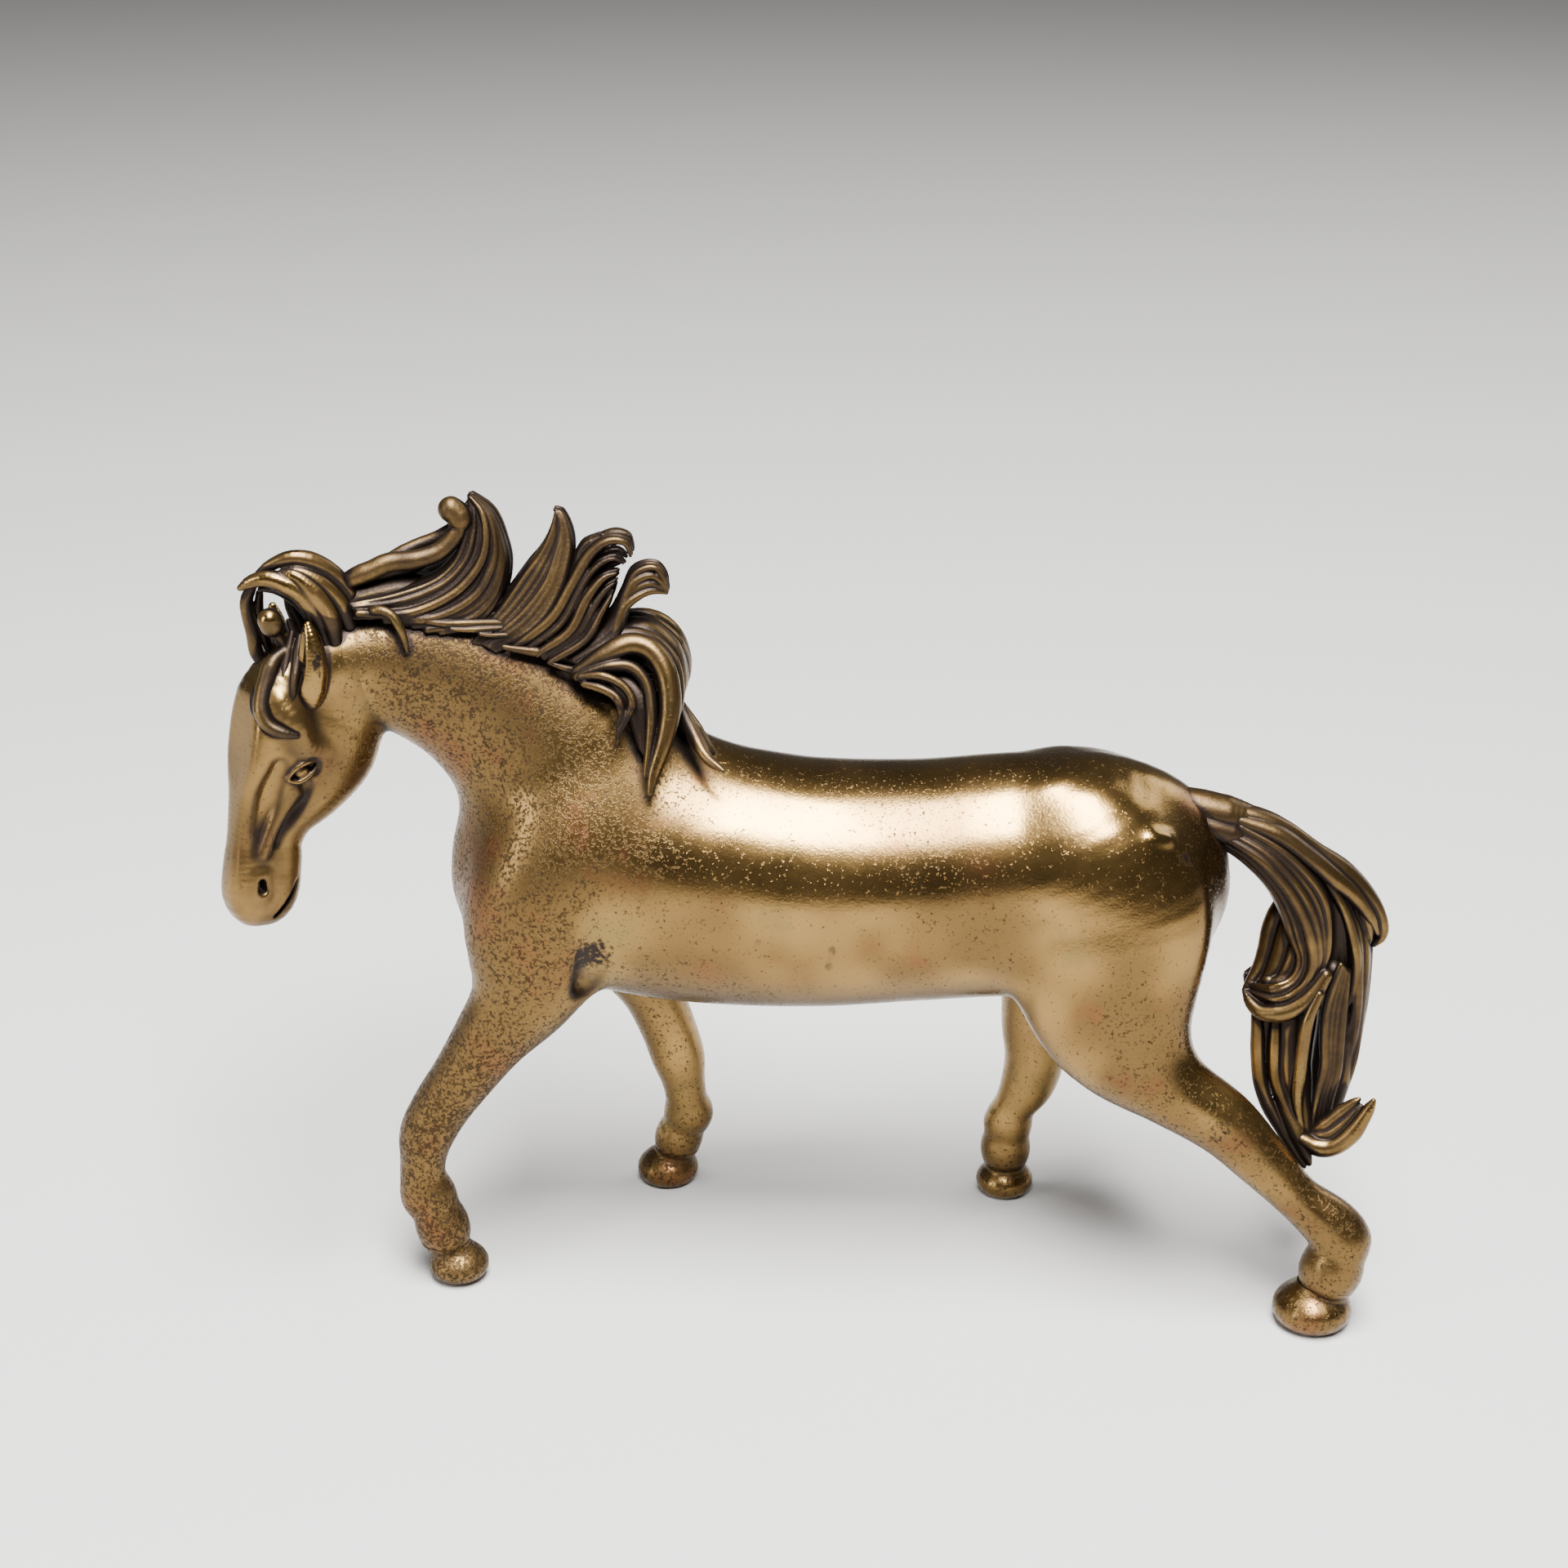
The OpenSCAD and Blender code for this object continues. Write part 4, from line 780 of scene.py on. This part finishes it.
cutters = {
    "left_foreleg": loftMesh("cutLeftFore", wider(bodyForms["leftForeleg"][1:], 1.0)),
    "right_foreleg": loftMesh("cutRightFore", wider(bodyForms["rightForeleg"][1:], 1.0)),
    "left_hind_leg": loftMesh("cutLeftHind", wider(bodyForms["leftHindLeg"][2:], 1.2)),
    "right_hind_leg": loftMesh("cutRightHind", wider(bodyForms["rightHindLeg"][2:], 1.2)),
    "neck": loftMesh("cutNeck", wider([[-15.2, 0, 32.8, 8.0, 9.5], [-17.3, -0.1, 35.9, 6.4, 8.4],
                                       [-19.8, -0.4, 38.2, 4.4, 6.6], [-22.5, -1.0, 39.7, 4.2, 6.2],
                                       [-26.0, -2.2, 40.6, 4.0, 6.0]], 0.6)),
    "head": loftMesh("cutHead", wider(onHead([[0.9, 0, 3.4, 3.4, 3.2], [0.6, 0, 1.0, 3.4, 4.4],
                                              [0.3, 0, -2.0, 3.6, 5.6], [0.6, 0, -5.0, 3.6, 6.0],
                                              [0.0, 0, -9.0, 3.4, 5.0], [-1.0, 0, -18.0, 3.4, 4.6]]), 0),
                     side=acrossHead),
}
for name, look in hoofLook.items():
    x, y = look["top"]
    r = look["r"] * 2
    cutters[name] = loftMesh("cut_" + name, [[x, y, -2, r, r], [x, y, look["h"] * 0.9, r, r]], count=40)

pieces = {}
bodySkin = meshPiece("bodySkin", *bodyClay.skin())
for node in ("left_foreleg", "right_foreleg", "left_hind_leg", "right_hind_leg"):
    pieces[node] = copyOf(bodySkin, node + "_cast")
    cutWith(pieces[node], cutters[node], "INTERSECT")
    hoof = node.replace("foreleg", "fore_hoof").replace("hind_leg", "hind_hoof")
    cutWith(pieces[node], cutters[hoof], "DIFFERENCE")
    pieces[hoof] = meshPiece(hoof + "_cast", *hoofClays[hoof].skin())
    cutWith(pieces[hoof], cutters[hoof], "INTERSECT")
pieces["neck"] = copyOf(bodySkin, "neck_cast")
cutWith(pieces["neck"], cutters["neck"], "INTERSECT")
cutWith(pieces["neck"], cutters["head"], "DIFFERENCE")
pieces["head"] = meshPiece("head_cast", *headClay.skin())
cutWith(pieces["head"], cutters["head"], "INTERSECT")
pieces["torso"] = copyOf(bodySkin, "torso_cast")
for node in ("left_foreleg", "right_foreleg", "left_hind_leg", "right_hind_leg", "neck", "head"):
    cutWith(pieces["torso"], cutters[node], "DIFFERENCE")
for node, clay in list(earClays.items()) + list(hairClays.items()):
    pieces[node] = meshPiece(node + "_cast", *clay.skin())
for spare in list(cutters.values()) + [bodySkin]:
    bpy.data.objects.remove(spare)
print("sections cut:", {n: len(p.data.polygons) for n, p in pieces.items()})

# ---- how deep each point lies in a hollow, from the room around it

shadeReach = [(0.2, 0.32), (0.45, 0.28), (0.9, 0.22), (1.7, 0.18)]    # distance out from the skin, weight


def ownNormals(piece, clay):
    at = pointsOf(piece)
    h = clay.step * 0.8
    slope = np.stack([clay.sample(at + h * e) - clay.sample(at - h * e) for e in np.eye(3)], axis=1)
    return at, slope / (np.linalg.norm(slope, axis=1)[:, None] + 1e-9)


def allRoom(points, leftOut):
    room = np.full(len(points), farAway)
    low, high = points.min(0), points.max(0)
    for clay in clays:
        if clay is leftOut:
            continue
        top = clay.low + clay.step * np.array(clay.field.shape)
        if (clay.low < high).all() and (top > low).all():
            room = np.minimum(room, clay.sample(points))
    return room


def finishSkin(node, clay):
    piece = pieces[node]
    at, out = ownNormals(piece, clay)
    hollow = np.zeros(len(at))
    twin = headClay if clay is bodyClay else bodyClay
    leftOut = twin if node in skinOf and node not in hairClays else None
    for reach, weight in shadeReach:
        hollow += weight * np.clip(1 - allRoom(at + reach * out, leftOut) / reach, 0, 1.6)
    mark = piece.data.attributes.new("hollow", "FLOAT", "POINT")
    mark.data.foreach_set("value", np.clip(hollow, 0, 1).astype(np.float32))
    # smooth shading by the clay's own slope, so that a section's edge doesn't show
    mesh = piece.data
    mesh.shade_smooth()
    corner = np.empty(len(mesh.loops), np.int32)
    mesh.loops.foreach_get("vertex_index", corner)
    flat = np.empty(len(mesh.polygons) * 3, np.float32)
    mesh.polygons.foreach_get("normal", flat)
    total = np.empty(len(mesh.polygons), np.int32)
    mesh.polygons.foreach_get("loop_total", total)
    faceOut = np.repeat(flat.reshape(-1, 3), total, axis=0)
    chosen = out[corner]
    odd = (chosen * faceOut).sum(1) < 0.6
    chosen[odd] = faceOut[odd]
    mesh.normals_split_custom_set(chosen.tolist())


skinOf = {n: bodyClay for n in ("torso", "neck", "left_foreleg", "right_foreleg", "left_hind_leg",
                                "right_hind_leg")}
skinOf["head"] = headClay
skinOf.update(hoofClays)
skinOf.update(earClays)
skinOf.update(hairClays)
for node in pieces:
    finishSkin(node, skinOf[node])
print("hollows measured")

# ---- finish


class Wire:
    # a socket that can be used in a sum
    def __init__(self, bench, socket):
        self.bench = bench
        self.socket = socket

    def sum(self, how, a, b):
        return self.bench.node("ShaderNodeMath", {"operation": how}, {0: a, 1: b})[0]

    def __add__(self, other):
        return self.sum("ADD", self, other)

    def __mul__(self, other):
        return self.sum("MULTIPLY", self, other)

    def __sub__(self, other):
        return self.sum("SUBTRACT", self, other)

    def __rsub__(self, other):
        return self.sum("SUBTRACT", other, self)

    def __truediv__(self, other):
        return self.sum("DIVIDE", self, other)

    __radd__ = __add__
    __rmul__ = __mul__


class Bench:
    def __init__(self, name):
        self.material = bpy.data.materials.new(name)
        self.material.use_nodes = True
        self.tree = self.material.node_tree
        self.tree.nodes.clear()

    def node(self, kind, settings=None, values=None):
        made = self.tree.nodes.new(kind)
        for key, value in (settings or {}).items():
            setattr(made, key, value)
        for key, value in (values or {}).items():
            if isinstance(value, Wire):
                self.tree.links.new(value.socket, made.inputs[key])
            else:
                made.inputs[key].default_value = value
        return [Wire(self, s) for s in made.outputs if s.enabled]

    def blend(self, share, a, b):
        return self.node("ShaderNodeMix", {"data_type": "RGBA"}, {0: share, 6: a, 7: b})[0]

    def between(self, value, low, high):
        # 0 below low, 1 above high, smooth in between
        return self.node("ShaderNodeMapRange", {"interpolation_type": "SMOOTHSTEP"},
                         {0: value, 1: low, 2: high, 3: 0.0, 4: 1.0})[0]

    def noise(self, place, scale, detail=3.0, rough=0.55):
        return self.node("ShaderNodeTexNoise", {}, {"Vector": place, "Scale": scale, "Detail": detail,
                                                    "Roughness": rough})[0]


bronzeLook = {
    "polished": (0.28, 0.170, 0.056, 1),
    "worn": (0.135, 0.082, 0.029, 1),
    "copper": (0.17, 0.066, 0.027, 1),
    "olive": (0.14, 0.112, 0.040, 1),
    "patina": (0.016, 0.010, 0.007, 1),
    "pit": (0.030, 0.019, 0.011, 1),
    "foreEnd": (-0.018, -0.004),     # the casting is rough ahead of this stretch, polished behind it
    "face": (-0.0295, -0.0255),      # and polished again on the head
    "crestRoot": (0.036, 0.0425),    # painted shade under the mane: the neck is made darker, rougher and more pitted here
    "shadeCorners": [((-12.7, -6.6, 23.4), 3.4), ((-27.6, -6.6, 42.4), 2.8), ((23.0, -4.8, 30.2), 1.6),
             ((-11.0, -5.6, 38.0), 3.4), ((25.5, -7.0, 13.5), 2.6)],    # painted shade in these corners, mm
}


def castBronze(name, speckle, patinaFrom, patinaTo, gloss, wear):
    b = Bench(name)
    place = b.node("ShaderNodeTexCoord")[3]
    along = b.node("ShaderNodeSeparateXYZ", {}, {0: place})
    big = b.noise(place, 90.0, 2.0)                 # about 11 mm
    patch = b.noise(place, 260.0, 4.0, 0.6)         # about 4 mm
    fine = b.noise(place, 2600.0, 4.0, 0.65)        # about 0.4 mm
    grain = b.noise(place, 6500.0, 2.0, 0.5)
    hollow = b.node("ShaderNodeAttribute", {"attribute_name": "hollow"})[2]
    # painted shade: dark patches around the listed corners, where the forms shade each other
    corner = 0
    for spot, reach in bronzeLook["shadeCorners"]:
        spot = ((np.array(spot) + drawnShift) * mm).tolist()
        far = b.node("ShaderNodeVectorMath", {"operation": "DISTANCE"}, {0: place, 1: spot})[0]
        corner = corner + (1 - b.between(far, 0.0, reach * mm))
    cornerShade = b.between(corner + (fine - 0.5) * 1.6, 0.45, 1.15) * 0.75
    # patina in the hollows, with the painted corner shade added to it
    dark = b.between(hollow + (patch - 0.5) * 0.25 + cornerShade * 0.5, patinaFrom, patinaTo)
    ahead = (1 - b.between(along[0], *bronzeLook["foreEnd"])) * b.between(along[0], *bronzeLook["face"])
    low = 1 - b.between(along[2], 0.013, 0.024)
    # painted shade under the mane: a band of the neck there is made darker and more pitted
    root = ahead * b.between(along[2], *bronzeLook["crestRoot"])
    # rough casting ahead, towards the bottom and in random patches, plus the painted shade under the mane
    rawnessAndShade = ahead * 0.08 + root * 0.05 + low * 0.05 + b.between(big, 0.42, 0.62) * 0.05
    crumb = b.noise(place, 5200.0, 3.0, 0.7)        # about 0.2 mm
    pits = b.between(fine * 0.45 + crumb * 0.55 + rawnessAndShade, 0.61, 0.72) * speckle
    reddish = b.between(patch, 0.52, 0.66) * b.between(big, 0.47, 0.58)
    greenish = b.between(patch, 0.50, 0.36) * b.between(big, 0.50, 0.40)
    colour = b.blend(b.between(big + rawnessAndShade + wear, 0.38, 0.68), bronzeLook["polished"], bronzeLook["worn"])
    colour = b.blend(reddish * (0.6 - wear * 5), colour, bronzeLook["copper"])
    colour = b.blend(greenish * 0.4, colour, bronzeLook["olive"])
    colour = b.blend(pits, colour, bronzeLook["pit"])
    colour = b.blend(dark, colour, bronzeLook["patina"])
    rough = (1 - dark) * (gloss + (patch - 0.5) * 0.20 + rawnessAndShade * 0.9 + pits * 0.25) + dark * 0.42
    height = fine * 0.5 - pits * 0.8 + grain * 0.3
    bump = b.node("ShaderNodeBump", {}, {"Strength": 0.35, "Distance": 0.00006, "Height": height})[0]
    shader = b.node("ShaderNodeBsdfPrincipled", {}, {
        "Base Color": colour, "Metallic": 1 - dark * 0.15, "Roughness": rough, "Normal": bump})[0]
    b.node("ShaderNodeOutputMaterial", {}, {"Surface": shader})
    return b.material


bodyBronze = castBronze("polishedBronze", 0.85, 0.14, 0.44, 0.21, 0.02)
hairBronze = castBronze("antiquedBronze", 0.35, 0.02, 0.20, 0.20, 0.10)

slots = {s["node"]: s["material_slot"] for s in frame["record"]["subparts"]}
for node, piece in pieces.items():
    piece.data.materials.clear()
    piece.data.materials.append(hairBronze if slots[node] == "antiqued_bronze" else bodyBronze)
    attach(piece, "root")
    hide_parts(node)
print("finish applied")

# ---- floor, light and camera

floorMesh = bpy.data.meshes.new("floor")
floorMesh.from_pydata([(-4, -4, 0), (4, -4, 0), (4, 4, 0), (-4, 4, 0)], [], [(0, 1, 2, 3)])
floor = bpy.data.objects.new("floor", floorMesh)
bpy.context.scene.collection.objects.link(floor)
paleFloor = Bench("paleFloor")
paleShader = paleFloor.node("ShaderNodeBsdfPrincipled", {}, {
    "Base Color": (0.46, 0.452, 0.44, 1), "Roughness": 0.8})[0]
paleFloor.node("ShaderNodeOutputMaterial", {}, {"Surface": paleShader})
floorMesh.materials.append(paleFloor.material)

target = Vector(((np.array([-1.35, 0, 32.5]) + drawnShift) * mm).tolist())

lightLook = {
    "overhead": {"at": (0.02, -0.13, 0.38), "size": (0.15, 0.30), "power": 10.5},
    "side": {"at": (-0.42, -0.30, 0.20), "size": (0.16, 0.30), "power": 1.8},
    "rim": {"at": (0.35, 0.30, 0.30), "size": (0.20, 0.30), "power": 0.8},
}
for name, look in lightLook.items():
    lamp = bpy.data.lights.new(name, "AREA")
    lamp.shape = "RECTANGLE"
    lamp.size, lamp.size_y = look["size"]
    lamp.energy = look["power"]
    holder = bpy.data.objects.new(name, lamp)
    holder.location = look["at"]
    holder.rotation_euler = (target - Vector(look["at"])).to_track_quat("-Z", "Y").to_euler()
    bpy.context.scene.collection.objects.link(holder)

world = bpy.data.worlds.new("studio")
world.use_nodes = True
world.node_tree.nodes["Background"].inputs[0].default_value = (0.82, 0.81, 0.79, 1)
world.node_tree.nodes["Background"].inputs[1].default_value = 0.17
bpy.context.scene.world = world

cameraLook = {"azimuth": 3, "elevation": 22, "distance": 0.170, "lens": 63.75}
around, up = math.radians(cameraLook["azimuth"]), math.radians(cameraLook["elevation"])
back = Vector((math.sin(around) * math.cos(up), -math.cos(around) * math.cos(up), math.sin(up)))
lens = bpy.data.cameras.new("view")
lens.lens = cameraLook["lens"]
lens.sensor_width = 36
lens.clip_start = 0.005
camera = bpy.data.objects.new("view", lens)
camera.location = target + back * cameraLook["distance"]
camera.rotation_euler = (-back).to_track_quat("-Z", "Y").to_euler()
bpy.context.scene.collection.objects.link(camera)
bpy.context.scene.camera = camera
